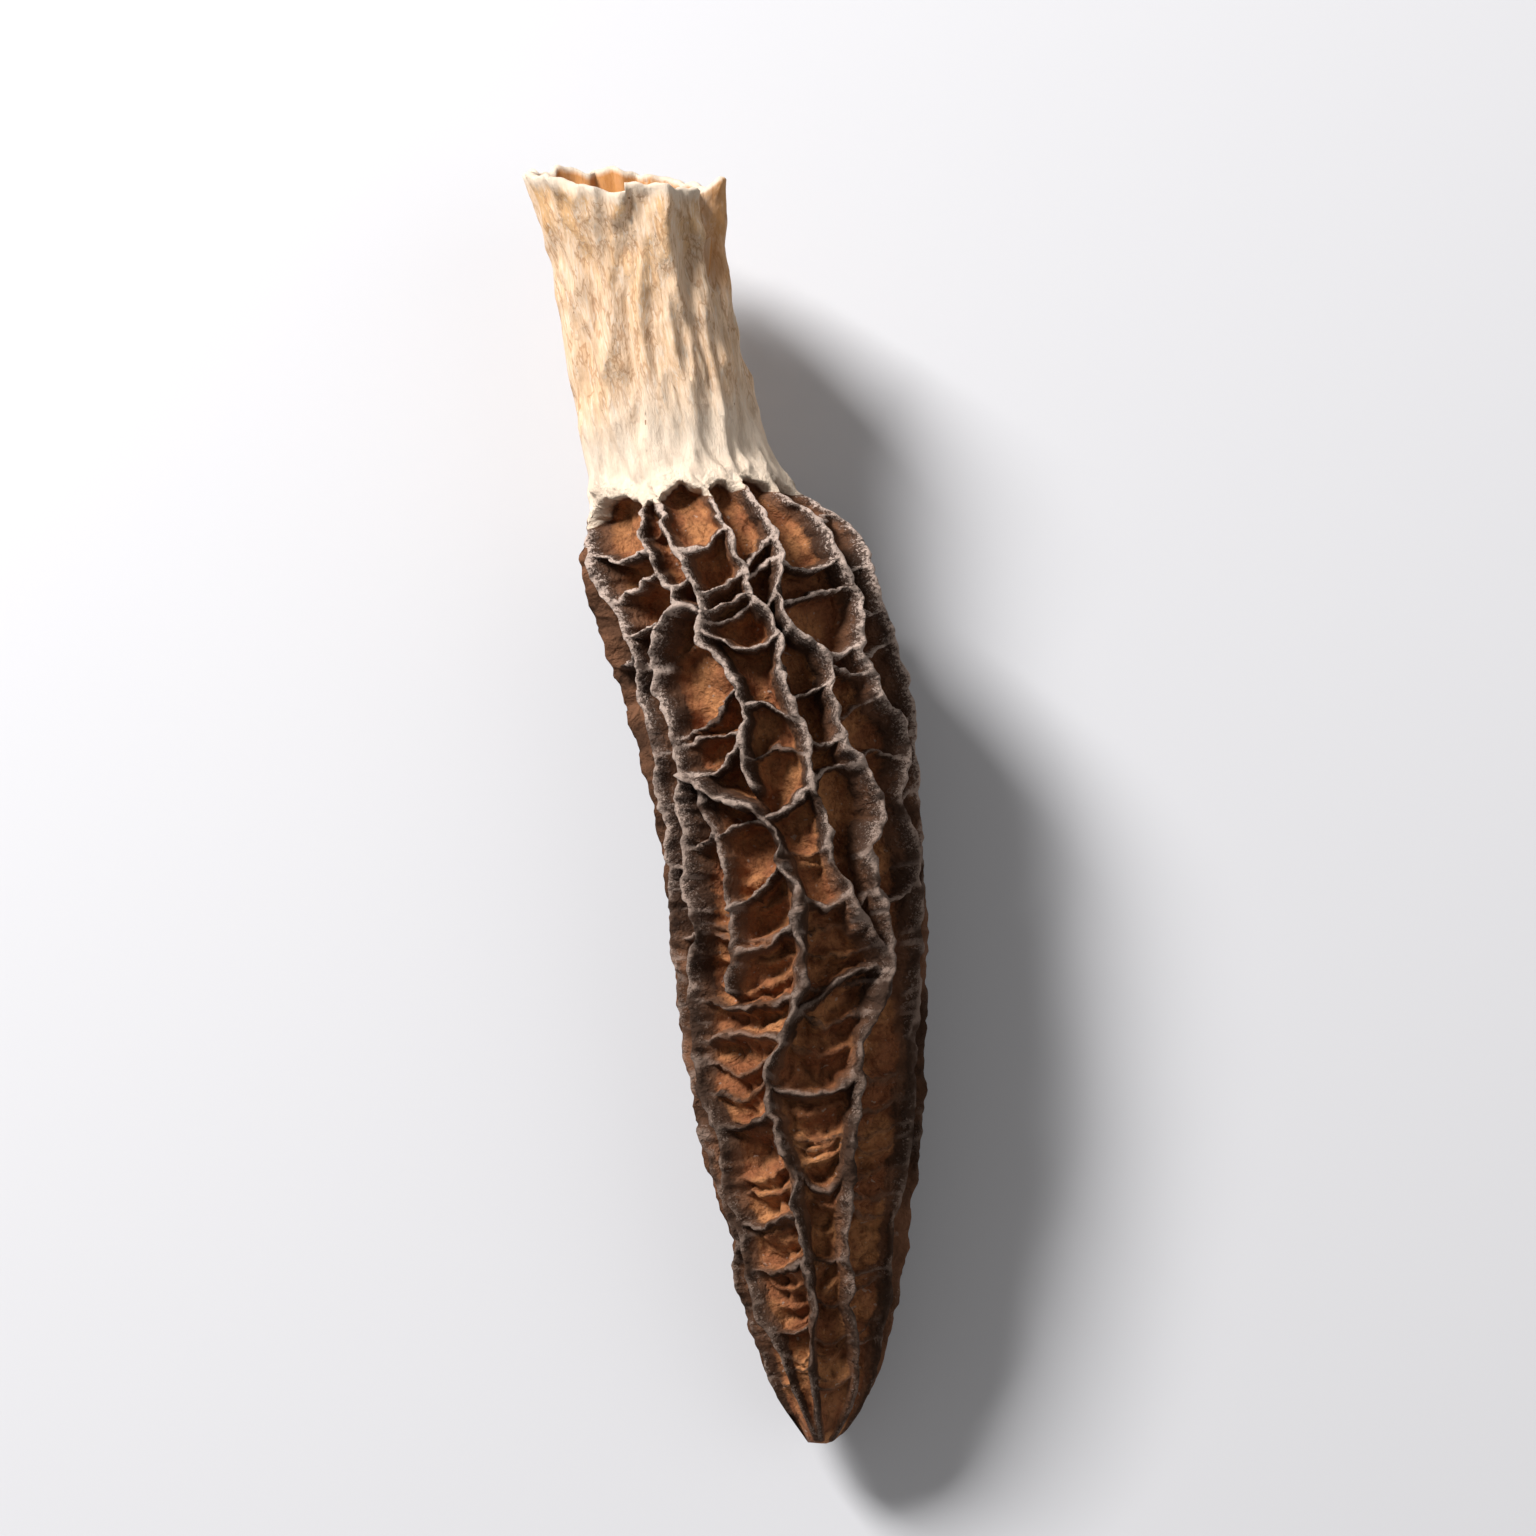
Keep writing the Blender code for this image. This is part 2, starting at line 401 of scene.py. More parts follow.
@dataclass
class RibNet:
    """All ribs and walls of the cap: the drawn ones on top, and grown ones round the underside.

    Places along the cap are in millimetres from the tip, turns in degrees. A random wall's limits are
    its tilt and its sag towards the tip, in millimetres, and its height as a share of a rib's.
    """

    seed: int = 11
    first_turn: float = 115.0
    last_turn: float = 257.0
    hidden: int = 7
    wander: float = 7.0
    rib_start: float = 56.5
    rib_step: float = 4.3
    rib_end: float = 0.6
    rib_height: tuple[float, float] = (0.9, 1.05)
    wall_start: float = 54.0
    wall_start_range: float = 1.5
    wall_end: float = 3.5
    wall_gap: tuple[float, float] = (2.4, 5.0)
    close_above: float = 42.0
    close_gap: float = 0.75
    wall_low: Triple = (-0.8, -0.2, 0.6)
    wall_high: Triple = (0.8, 0.9, 1.0)
    fold_gap: tuple[float, float] = (1.1, 2.3)
    fold_span: tuple[float, float] = (4.0, 33.0)
    fold_low: Triple = (-0.9, 0.2, 0.22)
    fold_high: Triple = (0.5, 1.1, 0.60)
    ribs: dict[str, Rib] = field(default_factory=dict)
    walls: list[CrossWall] = field(default_factory=list)

    def __post_init__(self) -> None:
        """Collect the drawn ribs and grow the hidden ones."""
        self.ribs = {rib.name: rib for rib in SEEN_RIBS}
        for (left, right), walls in SEEN_WALLS.items():
            self.walls += [CrossWall(left, right, *sizes) for sizes in walls]
        rng = np.random.default_rng(self.seed)
        names = ["right_edge"]
        for k in range(self.hidden):
            turn = self.first_turn + (self.last_turn - self.first_turn) * k / (self.hidden - 1)
            names.append(f"under_{k + 1}")
            self.ribs[names[-1]] = self.grown_rib(names[-1], turn, rng)
        edge = self.ribs["left_edge"]
        behind = tuple((s, turn + 360.0) for s, turn in edge.points)
        self.ribs["left_edge_behind"] = Rib("left_edge_behind", behind, 0.0)
        names.append("left_edge_behind")
        for left, right in zip(names, names[1:]):
            self.walls += self.grown_walls(left, right, rng)
        for left, right in SEEN_FURROWS:
            self.walls += self.low_folds(left, right, rng)

    def grown_rib(self, name: str, turn: float, rng: np.random.Generator) -> Rib:
        """Let one rib wander down the hidden side.

        Args:
            name: Name of the rib.
            turn: Mean turn in degrees.
            rng: Source of the wandering.

        Returns:
            The rib.
        """
        stations = np.arange(self.rib_start, 0.0, -self.rib_step)
        drift = rng.uniform(-1.0, 1.0, len(stations)) * self.wander
        points = tuple((float(s), turn + float(d)) for s, d in zip(stations, drift))
        return Rib(name, points + ((self.rib_end, turn),), float(rng.uniform(*self.rib_height)))

    @staticmethod
    def grown_wall(
        left: str, right: str, s: float, limits: tuple[Triple, Triple], rng: np.random.Generator
    ) -> CrossWall:
        """Draw one wall with a random tilt, sag and height.

        Args:
            left: Rib at one side.
            right: Rib at the other.
            s: Distance of the wall's middle from the tip.
            limits: Lowest and highest tilt, sag and height.
            rng: Source of the three.

        Returns:
            The wall.
        """
        tilt, sag, height = rng.uniform(*limits)
        return CrossWall(left, right, s + tilt / 2, s - tilt / 2, float(sag), float(height))

    def low_folds(self, left: str, right: str, rng: np.random.Generator) -> list[CrossWall]:
        """Wrinkle the pit floors of the lower half between two drawn ribs.

        Args:
            left: Rib at one side.
            right: Rib at the other.
            rng: Source of the gaps.

        Returns:
            The low folds.
        """
        folds = []
        s = self.fold_span[1]
        while s > self.fold_span[0]:
            folds.append(self.grown_wall(left, right, s, (self.fold_low, self.fold_high), rng))
            s -= float(rng.uniform(*self.fold_gap))
        return folds

    def grown_walls(self, left: str, right: str, rng: np.random.Generator) -> list[CrossWall]:
        """Close the pits between two hidden ribs.

        Args:
            left: Rib at one side.
            right: Rib at the other.
            rng: Source of the gaps.

        Returns:
            The walls from the collar to the tip.
        """
        walls = []
        s = self.wall_start - float(rng.uniform(0.0, self.wall_start_range))
        while s > self.wall_end:
            walls.append(self.grown_wall(left, right, s, (self.wall_low, self.wall_high), rng))
            s -= float(rng.uniform(*self.wall_gap)) * (self.close_gap if s > self.close_above else 1.0)
        return walls


@dataclass(frozen=True)
class Collar:
    """The edge where the cap ends on the stem, arched over each of the first pits."""

    net: RibNet
    read_at: float = 54.5
    reaches: float = 55.0
    level: float = 54.6
    arch_height: float = 1.15
    full_width: float = 0.45
    width_limits: tuple[float, float] = (0.5, 1.2)

    def edge(self, turn: np.ndarray) -> np.ndarray:
        """Distance from the tip at which the cap ends.

        Args:
            turn: Turns from the top, in radians.

        Returns:
            The distances.
        """
        ribs = [rib for rib in self.net.ribs.values() if rib.points[0][0] > self.reaches and rib.height > 0]
        tops = np.sort(np.radians(np.array([rib.turn(self.read_at) for rib in ribs])) % math.tau)
        ring = np.concatenate((tops[-1:] - math.tau, tops, tops[:1] + math.tau))
        turn = turn % math.tau
        i = np.clip(np.searchsorted(ring, turn) - 1, 0, len(ring) - 2)
        share = (turn - ring[i]) / (ring[i + 1] - ring[i])
        arch = np.sqrt(np.clip(np.sin(math.pi * share), 0.0, 1.0))
        width = np.clip((ring[i + 1] - ring[i]) / self.full_width, *self.width_limits)
        return (self.level + self.arch_height * arch * width) * MM


@dataclass
class Relief:
    """A map of the skin, one value for each ring and spoke: how high it stands between floor and crest."""

    growth: Growth
    rings: np.ndarray
    around: int
    reach: float = 2.6 * MM
    crest: float = 0.12 * MM
    foot: float = 0.56 * MM
    crest_curve: float = 1.2
    brow_curve: float = 0.8
    bowl: float = 2.2 * MM
    bowl_share: float = 0.24
    full_radius: float = 6.5 * MM
    least_size: float = 0.56
    broad_crest: float = 0.04 * MM
    broad_foot: float = 0.15 * MM
    broadens: tuple[float, float] = (30 * MM, 46 * MM)
    sways: Curve = ((4.2 * MM, 0.6 * MM), (1.5 * MM, 0.42 * MM), (0.65 * MM, 0.30 * MM))
    sway_shift: float = 40 * MM
    sway_fade: float = 12 * MM
    sway_at_tip: float = 0.25
    sway_radius: float = 2.0 * MM
    map_radius: float = 0.2 * MM
    narrowest: float = 0.5 * MM
    widest_spread: float = 0.9 * math.pi
    far: float = 9.0 * MM

    def __post_init__(self) -> None:
        """Lay out the empty map."""
        turns = np.arange(self.around) * math.tau / self.around
        self.plain_turn = np.tile(turns, (len(self.rings), 1))
        self.plain_s = np.repeat(self.rings[:, None], self.around, axis=1)
        self.turn = self.plain_turn.copy()
        self.s = self.plain_s.copy()
        self.radius = np.maximum(self.growth.radius(self.rings), self.map_radius)
        self.height = np.zeros_like(self.s)
        self.brow = np.zeros_like(self.s)
        self.gap = np.full_like(self.s, self.far)
        self.broad = np.interp(self.rings, self.broadens, (1.0, 0.0))

    def warp(self, noise: Noise, skin: np.ndarray) -> None:
        """Make every line that is drawn later crinkle and wander.

        Args:
            noise: Source of the crinkles.
            skin: Place of each map point on the plain form.
        """
        shape = self.s.shape
        size = np.maximum(self.radius[:, None], self.sway_radius)
        for width, sway in self.sways:
            taper = np.clip(self.s / self.sway_fade, self.sway_at_tip, 1.0)
            self.turn += (noise.at(skin, width) * sway).reshape(shape) * taper / size
            shifted = skin[:, ::-1] + self.sway_shift
            self.s += (noise.at(shifted, width) * sway).reshape(shape) * taper

    def draw(self, line: np.ndarray, height: np.ndarray, thin: float = 1.0) -> None:
        """Raise a crest along a line.

        Args:
            line: Rows of distance from the tip and turn from the top, in metres and radians.
            height: Height of the crest at each row, as a share of the full depth.
            thin: Factor on the width of the crest and its foot.
        """
        for start, end, h0, h1 in zip(line, line[1:], height, height[1:]):
            low = np.searchsorted(self.rings, min(start[0], end[0]) - self.reach)
            high = np.searchsorted(self.rings, max(start[0], end[0]) + self.reach)
            if high > low:
                self.draw_step(start, end, (h0, h1), slice(low, high), thin)

    def draw_step(
        self, start: np.ndarray, end: np.ndarray, heights: tuple[float, float], rows: slice, thin: float
    ) -> None:
        """Raise one straight step of a crest.

        Args:
            start: Distance and turn of its start.
            end: Distance and turn of its end.
            heights: Height at both.
            rows: Rings within reach.
            thin: Factor on the width of the crest and its foot.
        """
        (s0, a0), (s1, a1) = start, end
        radius = self.radius[rows][:, None]
        window, lap = self.window(min(a0, a1), max(a0, a1), rows)
        x = (self.turn[window] + lap[None, :] - a0) * radius
        y = self.s[window] - s0
        dx = (a1 - a0) * radius
        dy = s1 - s0
        t = np.clip((x * dx + y * dy) / (dx * dx + dy * dy + 1e-12), 0.0, 1.0)
        gap = np.hypot(x - t * dx, y - t * dy)
        size = thin * np.clip(radius / self.full_radius, self.least_size, 1.0)
        broad = self.broad[rows][:, None]
        crest = (self.crest + self.broad_crest * broad) * size
        foot = (self.foot + self.broad_foot * broad) * size
        near = np.clip(1 - (gap - crest) / (foot - crest), 0.0, 1.0)
        wide = np.clip(1 - gap / (self.bowl * size), 0.0, 1.0)
        rise = (1 - self.bowl_share) * near**self.crest_curve + self.bowl_share * wide * wide
        tall = heights[0] + (heights[1] - heights[0]) * t
        brow = near * np.minimum(tall, 1.0) ** self.brow_curve
        self.height[window] = np.maximum(self.height[window], rise * tall)
        self.brow[window] = np.maximum(self.brow[window], brow)
        self.gap[window] = np.minimum(self.gap[window], gap / size)

    def window(self, left: float, right: float, rows: slice) -> tuple[tuple, np.ndarray]:
        """Find the part of the map within reach of a step.

        Args:
            left: Lowest turn of the step.
            right: Highest turn of the step.
            rows: Rings within reach.

        Returns:
            The map's index for that part, and what its spokes' turns lack of the step's own lap.
        """
        turn_step = math.tau / self.around
        narrow = max(float(self.radius[rows].min()), self.narrowest)
        spread = min(self.reach / narrow, self.widest_spread)
        first = int(math.floor((left - spread) / turn_step))
        last = int(math.ceil((right + spread) / turn_step))
        last = min(last, first + self.around - 1)
        spokes = np.arange(first, last + 1)
        columns = spokes % self.around
        lap = (spokes - columns) * turn_step
        return np.ix_(np.arange(rows.start, rows.stop), columns), lap


def line_through(points: list[tuple[float, float]], spacing: float) -> np.ndarray:
    """Run a smooth line through points on the skin.

    Args:
        points: Rows of millimetres from the tip and degrees from the top.
        spacing: Distance between the line's points, in millimetres.

    Returns:
        Rows of metres and radians.
    """
    rough = np.array(points, float)
    length = np.hypot(np.diff(rough[:, 0]), np.diff(rough[:, 1]) * MM_PER_DEGREE)
    at = np.concatenate(([0.0], np.cumsum(np.maximum(length, 1e-3))))
    count = max(int(at[-1] / spacing) + 1, 3)
    fine = np.linspace(0.0, at[-1], count)
    s = read_curve(tuple(zip(at, rough[:, 0])), fine)
    turn = read_curve(tuple(zip(at, rough[:, 1])), fine)
    return np.stack((s * MM, np.radians(turn)), axis=1)


@dataclass(frozen=True)
class Lumps:
    """A pattern of lumps: width along X, Y and Z, shift in the noise and strength, in millimetres."""

    width: tuple[float, float, float]
    shift: float
    strength: float


@dataclass(frozen=True)
class SkinPatterns:
    """The patterns that shape the cap's pits and crests, the stem and the lining of the hollow."""

    depth: Lumps = Lumps((4.0, 7.0, 4.0), 17.0, 0.5)
    mounds: Lumps = Lumps((2.6, 1.8, 2.6), 3.0, 1.8)
    small_mounds: Lumps = Lumps((1.2, 1.2, 1.2), 9.0, 0.9)
    floor_folds: Lumps = Lumps((1.3, 2.6, 1.3), 21.0, 5.0)
    floor_swell: Lumps = Lumps((5.5, 5.5, 5.5), 31.0, 0.35)
    nicks: Lumps = Lumps((1.3, 1.3, 1.3), 47.0, 0.42)
    small_nicks: Lumps = Lumps((0.6, 0.6, 0.6), 53.0, 0.26)
    swell: Lumps = Lumps((8.0, 8.0, 8.0), 61.0, 0.5)
    flutes: Lumps = Lumps((1.8, 8.0, 1.8), 71.0, 1.3)
    fine_flutes: Lumps = Lumps((0.7, 3.0, 0.7), 77.0, 0.34)
    broad_flutes: Lumps = Lumps((4.0, 18.0, 4.0), 83.0, 0.65)
    dents: Lumps = Lumps((2.6, 2.6, 2.6), 87.0, 0.32)
    creases: Lumps = Lumps((0.9, 2.6, 0.9), 89.0, 0.45)
    lean: Lumps = Lumps((3.4, 3.4, 3.4), 91.0, 0.9)
    small_lean: Lumps = Lumps((1.0, 1.0, 1.0), 97.0, 0.45)
    wander: Lumps = Lumps((2.8, 2.8, 2.8), 103.0, 0.5)
    lining: Lumps = Lumps((1.2, 7.0, 1.2), 200.0, 0.3)


@dataclass(frozen=True)
class SkinNoise:
    """The noise as it is read at every point of the plain skin."""

    noise: Noise
    skin: np.ndarray
    shape: tuple[int, ...]

    def read(self, lumps: Lumps) -> np.ndarray:
        """Read a pattern.

        Args:
            lumps: The pattern.

        Returns:
            Its height at each ring and spoke, in millimetres.
        """
        values = self.noise.at(self.skin + lumps.shift * MM, np.array(lumps.width) * MM)
        return values.reshape(self.shape) * lumps.strength


@dataclass(frozen=True)
class Fold:
    """A bulge round the stem: its middle and width in degrees from the top, and its height."""

    middle: float
    width: float
    height: float = 1.0

    def at(self, turn: np.ndarray) -> np.ndarray:
        """Height at each turn."""
        return np.exp(-(((np.degrees(turn) - self.middle) / self.width) ** 2)) * self.height


@dataclass(frozen=True)
class Mouth:
    """The stem's ragged mouth: folds in degrees and millimetres, and lengths in metres."""

    flap: Fold = Fold(70.0, 8.0, 0.55)
    rim: tuple[Fold, ...] = (Fold(350.0, 15.0, -0.75), Fold(180.0, 45.0, 0.5))
    folds: tuple[Fold, ...] = (
        Fold(70.0, 6.0, 0.55),
        Fold(56.0, 5.0, -0.60),
        Fold(20.0, 6.0, 0.40),
        Fold(36.0, 9.0, -0.50),
    )
    fold_start: float = 65.5 * MM
    fold_fade: float = 4.5 * MM
    tear: Fold = Fold(64.0, 9.0)
    tear_start: float = 66.0 * MM
    tear_fade: float = 4.0 * MM
    tear_glow: float = 0.7
    lip_depth: float = 0.9 * MM
    lip_fade: float = 0.8 * MM
    ragged_ring: float = 5.5 * MM
    ragged: tuple[Lumps, ...] = (Lumps((2.6, 2.6, 2.6), 0.0, 0.6), Lumps((0.8, 0.8, 0.8), 7.0, 0.45))
    rounding: tuple[tuple[float, float], ...] = ((0.10, 0.14), (0.28, 0.20), (0.46, 0.14), (0.58, -0.02))


@dataclass
class Morel:
    """The whole fruit body, as one closed skin with a hollow that opens at the stem's mouth.

    Fields given in MM are lengths in metres. Heights of folds, mounds, nicks and flutes are in
    millimetres, and the other numbers are counts and shares.
    """

    growth: Growth
    net: RibNet
    patterns: SkinPatterns = SkinPatterns()
    mouth: Mouth = Mouth()
    around: int = 560
    ring_step: float = 0.11 * MM
    inner_rings: int = 70
    inner_spacing: float = 1.25
    lip_ease: float = 0.14
    triangles: int = 198_000
    seed: int = 5
    line_step: float = 0.4
    wall_thin: float = 0.72
    wall_middle: float = 0.8
    lower_half: float = 34 * MM
    lower_fade: float = 12 * MM
    tip_fade: float = 9 * MM
    least_at_tip: float = 0.15
    least_radius: float = 0.3
    fold_height: float = 0.13
    mound_height: float = 0.14
    mound_growth: float = 0.80
    mean_flute: float = 0.34
    nick_height: float = 0.9
    collar_reach: float = 0.25 * MM
    collar_fade: float = 0.45 * MM
    stem_fade: float = 1.6 * MM
    crest_curve: int = 3
    lean_radius: float = 1.5 * MM
    widest_gap: float = 2.0
    brow_below: float = 0.4
    brow_cosine: float = 0.2
    brow_fade: float = 0.6
    # These three place painted shade: in the creases between the floor's mounds, stronger in the lower
    # half, and on the cap's sides away from its top.
    crease_height: float = 0.34
    crease_above: float = 0.35
    side_shade_cosine: float = 0.60
    wall_points: int = 7
    floor_sink: float = 0.25 * MM
    merge: float = 0.002 * MM
    underside: float = 4.0 * MM
    lit_lining: float = 5.0 * MM
    keep_factor: float = 8.0
    seen_share: float = 0.35
    lining_mark: float = 0.9

    def build(self) -> bpy.types.Object:
        """Model the morel.

        Returns:
            The finished object, in place on the ground.
        """
        growth = self.growth
        outer = np.linspace(0.0, growth.length, int(growth.length / self.ring_step))
        relief = Relief(growth, outer, self.around)
        skin = self.on_form(growth.radius(relief.plain_s), relief.plain_turn, relief.plain_s)
        noise = Noise(self.seed)
        relief.warp(noise, skin)
        self.draw_net(relief)
        points, marks = self.shape_outside(relief, SkinNoise(noise, skin, relief.s.shape))
        inside, inside_marks = self.shape_inside(points, relief.plain_turn[0], noise)
        rows = np.concatenate((points, inside))
        marks = {name: np.concatenate((marks[name], inside_marks[name])) for name in marks}
        LOG.info("skin of %d rings by %d spokes", *rows.shape[:2])
        return self.make_object(rows, marks)

    @staticmethod
    def on_form(radius: np.ndarray, turn: np.ndarray, s: np.ndarray) -> np.ndarray:
        """Places on the straight form, as rows of x, y, z."""
        return np.stack((radius * np.sin(turn), s, radius * np.cos(turn)), axis=-1).reshape(-1, 3)

    def draw_net(self, relief: Relief) -> None:
        """Raise all ribs and walls on the map.

        Args:
            relief: The map.
        """
        for rib in self.net.ribs.values():
            if rib.height > 0.0:
                line = line_through(list(rib.points), self.line_step)
                relief.draw(line, np.full(len(line), rib.height))
        for wall in self.net.walls:
            left, right = self.net.ribs[wall.left], self.net.ribs[wall.right]
            points = []
            for t in np.linspace(0.0, 1.0, self.wall_points):
                s = wall.start + (wall.end - wall.start) * t - wall.sag * 4 * t * (1 - t)
                turn = left.turn(wall.start) * (1 - t) + right.turn(wall.end) * t
                points.append((s, turn))
            line = line_through(points, self.line_step)
            share = np.linspace(-1.0, 1.0, len(line))
            sagging = self.wall_middle + (1 - self.wall_middle) * share * share
            relief.draw(line, wall.height * sagging, self.wall_thin)

    def shape_outside(self, relief: Relief, skin: SkinNoise) -> tuple[np.ndarray, Marks]:
        """Turn the map into the outer skin.

        Args:
            relief: The map with all crests drawn.
            skin: Source of lumps and wrinkles.

        Returns:
            The straight skin's points by ring and spoke, and its marks.
        """
        growth, patterns, turn, s = self.growth, self.patterns, relief.plain_turn, relief.plain_s
        edge = Collar(self.net).edge(relief.turn)
        above = smooth((relief.s - edge + self.collar_reach) / self.collar_fade)
        height = np.maximum(relief.height, above)
        stem = smooth((s - edge) / self.stem_fade)
        floor = np.clip(1 - height, 0.0, 1.0)
        low = smooth((self.lower_half - s) / self.lower_fade)
        taper = np.clip(s / self.tip_fade, self.least_at_tip, 1.0)
        crest = np.minimum(height, 1.0) ** self.crest_curve * (1 - stem)
        mounds = np.abs(skin.read(patterns.mounds)) + np.abs(skin.read(patterns.small_mounds))
        nicks = skin.read(patterns.nicks) + skin.read(patterns.small_nicks)
        rise = self.floor_rise(skin, mounds, low) * floor + crest * nicks * self.nick_height
        rise = (rise + skin.read(patterns.swell)) * taper * (1 - stem)
        depth = read_curve(growth.depth, s) * (1 + skin.read(patterns.depth))
        plain = growth.radius(s)
        radius = plain - depth * (1 - height) * (1 - stem) + (rise + self.flutes(skin) * stem) * MM
        radius = np.maximum(radius, plain * self.least_radius)
        lean = skin.read(patterns.lean) + skin.read(patterns.small_lean)
        aside = lean * MM * crest * taper / np.maximum(plain, self.lean_radius)
        along = s + skin.read(patterns.wander) * MM * crest * taper
        upper = smooth((np.cos(turn) + self.brow_cosine) / self.brow_fade)
        # Painted shade: the pit floors darken in the creases between the mounds, more in the lower half.
        crease_shade = smooth(1 - mounds / self.crease_height) * floor
        marks = {
            "relief": height,
            "gap": np.minimum(relief.gap / MM, self.widest_gap),
            "brow": relief.brow * (1 - above) * (self.brow_below + (1 - self.brow_below) * upper),
            "painted_crease_shade": crease_shade * (self.crease_above + (1 - self.crease_above) * low),
            "above": above,
            "stem": stem,
            # Painted shade: darkens the floors on the cap's sides and underside, away from its top.
            "flank": smooth((self.side_shade_cosine - np.cos(turn)) / self.side_shade_cosine),
        }
        straight = self.on_form(radius, turn + aside, along).reshape(*s.shape, 3)
        return self.cut_mouth(straight, s, turn, skin.noise), marks | self.mouth_marks(turn, s)

    def floor_rise(self, skin: SkinNoise, mounds: np.ndarray, low: np.ndarray) -> np.ndarray:
        """Heave the pit floors: mounds towards the tip, and narrow folds towards the collar.

        Args:
            skin: Source of lumps and wrinkles.
            mounds: The rounded mounds, in millimetres.
            low: Share of the lower half.

        Returns:
            The rise at each ring and spoke, in millimetres.
        """
        folds = (1 - np.abs(skin.read(self.patterns.floor_folds))).clip(0, 1) ** 2
        rise = (self.mound_height + self.mound_growth * low) * mounds
        return rise + self.fold_height * folds * (1 - low) + skin.read(self.patterns.floor_swell)

    def flutes(self, skin: SkinNoise) -> np.ndarray:
        """Flute the stem lengthwise.

        Args:
            skin: Source of lumps and wrinkles.

        Returns:
            The rise at each ring and spoke, in millimetres.
        """
        patterns = self.patterns
        rise = self.mean_flute - np.abs(skin.read(patterns.flutes)) + skin.read(patterns.fine_flutes)
        rise += skin.read(patterns.broad_flutes) + skin.read(patterns.dents)
        return rise - np.abs(skin.read(patterns.creases))

    def mouth_marks(self, turn: np.ndarray, s: np.ndarray) -> Marks:
        """Mark the torn side of the mouth and its pale lip.

        Args:
            turn: Turn of each point.
            s: Distance from the tip of each point.

        Returns:
            The marks.
        """
        mouth = self.mouth
        tear = mouth.tear.at(turn)
        return {
            "inside": tear * smooth((s - mouth.tear_start) / mouth.tear_fade) * mouth.tear_glow,
            "lip": smooth((s - self.growth.length + mouth.lip_depth) / mouth.lip_fade) * (1 - tear),
        }

    def cut_mouth(
        self, straight: np.ndarray, s: np.ndarray, turn: np.ndarray, noise: Noise
    ) -> np.ndarray:
        """Slant and roughen the stem's mouth, notch its front and tear it open at its right side.

        Args:
            straight: Points of the straight skin.
            s: Distance from the tip of each point.
            turn: Turn of each point.
            noise: Source of the ragged edge.

        Returns:
            The points with their mouth cut.
        """
        growth, mouth = self.growth, self.mouth
        fade = smooth((s - growth.length + growth.cut_fade) / growth.cut_fade)
        ring = np.stack((np.sin(turn), np.zeros_like(turn), np.cos(turn)), axis=-1)
        edge = SkinNoise(noise, (ring * mouth.ragged_ring).reshape(-1, 3), s.shape)
        ragged = sum(edge.read(lumps) for lumps in mouth.ragged)
        straight[..., 1] -= straight[..., 2] * math.tan(math.radians(growth.cut_slant)) * fade
        straight[..., 1] -= straight[..., 0] * math.tan(math.radians(growth.cut_skew)) * fade
        rim = sum(fold.at(turn) for fold in mouth.rim)
        raised = ragged * fade**3 + mouth.flap.at(turn) * fade**4 + rim * fade**2
        straight[..., 1] += raised * MM
        folds = sum(fold.at(turn) for fold in mouth.folds)
        folds = folds * smooth((s - mouth.fold_start) / mouth.fold_fade) * MM
        return straight + ring * folds[..., None]

    def shape_inside(
        self, outside: np.ndarray, turn: np.ndarray, noise: Noise
    ) -> tuple[np.ndarray, Marks]:
        """Line the hollow, from the mouth's lip down to its rounded end in the cap.

        Args:
            outside: Points of the outer skin by ring and spoke.
            turn: Turn of each spoke.
            noise: Source of the lining's wrinkles.

        Returns:
            The lining's points by ring and spoke, and its marks.
        """
        growth = self.growth
        rows = self.round_lip(outside[-1])
        rounded = len(rows)
        last = rows[-1]
        ring = np.stack((np.sin(turn), np.zeros_like(turn), np.cos(turn)), axis=1)
        share = np.linspace(0.0, 1.0, self.inner_rings + 1)[1:] ** self.inner_spacing
        for part in share:
            s = growth.length + (growth.hollow_end - growth.length) * part
            into = (growth.hollow_end + growth.hollow_round - s) / growth.hollow_round
            into = min(max(into, 0.0), 1.0)
            size = growth.bore(s) * math.sqrt(max(1 - into * into, 0.0))
            row = self.on_form(np.full_like(turn, size), turn, np.full_like(turn, s))
            wrinkle = SkinNoise(noise, row, turn.shape).read(self.patterns.lining) * MM * (1 - into)
            row += ring * wrinkle[:, None]
            ease = float(smooth(1 - part / self.lip_ease))
            start = last.copy()
            start[:, 1] += s - growth.length
            rows.append(row * (1 - ease) + start * ease)
        lining = np.stack(rows)
        plain = np.zeros(lining.shape[:2])
        lip = plain.copy()
        lip[:rounded] = 1.0
        marks = {name: plain for name in ("brow", "painted_crease_shade", "flank")}
        marks |= {name: plain + 1.0 for name in ("relief", "gap", "above", "stem")}
        return lining, marks | {"inside": 1.0 - lip, "lip": lip}

    def round_lip(self, lip: np.ndarray) -> list[np.ndarray]:
        """Round the mouth's edge over into the hollow.

        Args:
            lip: Points of the outer skin's last ring.

        Returns:
            The rings of the rounded edge.
        """
        axis = lip.copy()
        axis[:, (0, 2)] = 0.0
        out = lip - axis
        reach = np.linalg.norm(out, axis=1, keepdims=True)
        rows = []
        for inset, rise in self.mouth.rounding:
            row = axis + out / reach * (reach - inset * MM)
            row[:, 1] += rise * MM
            rows.append(row)
        return rows

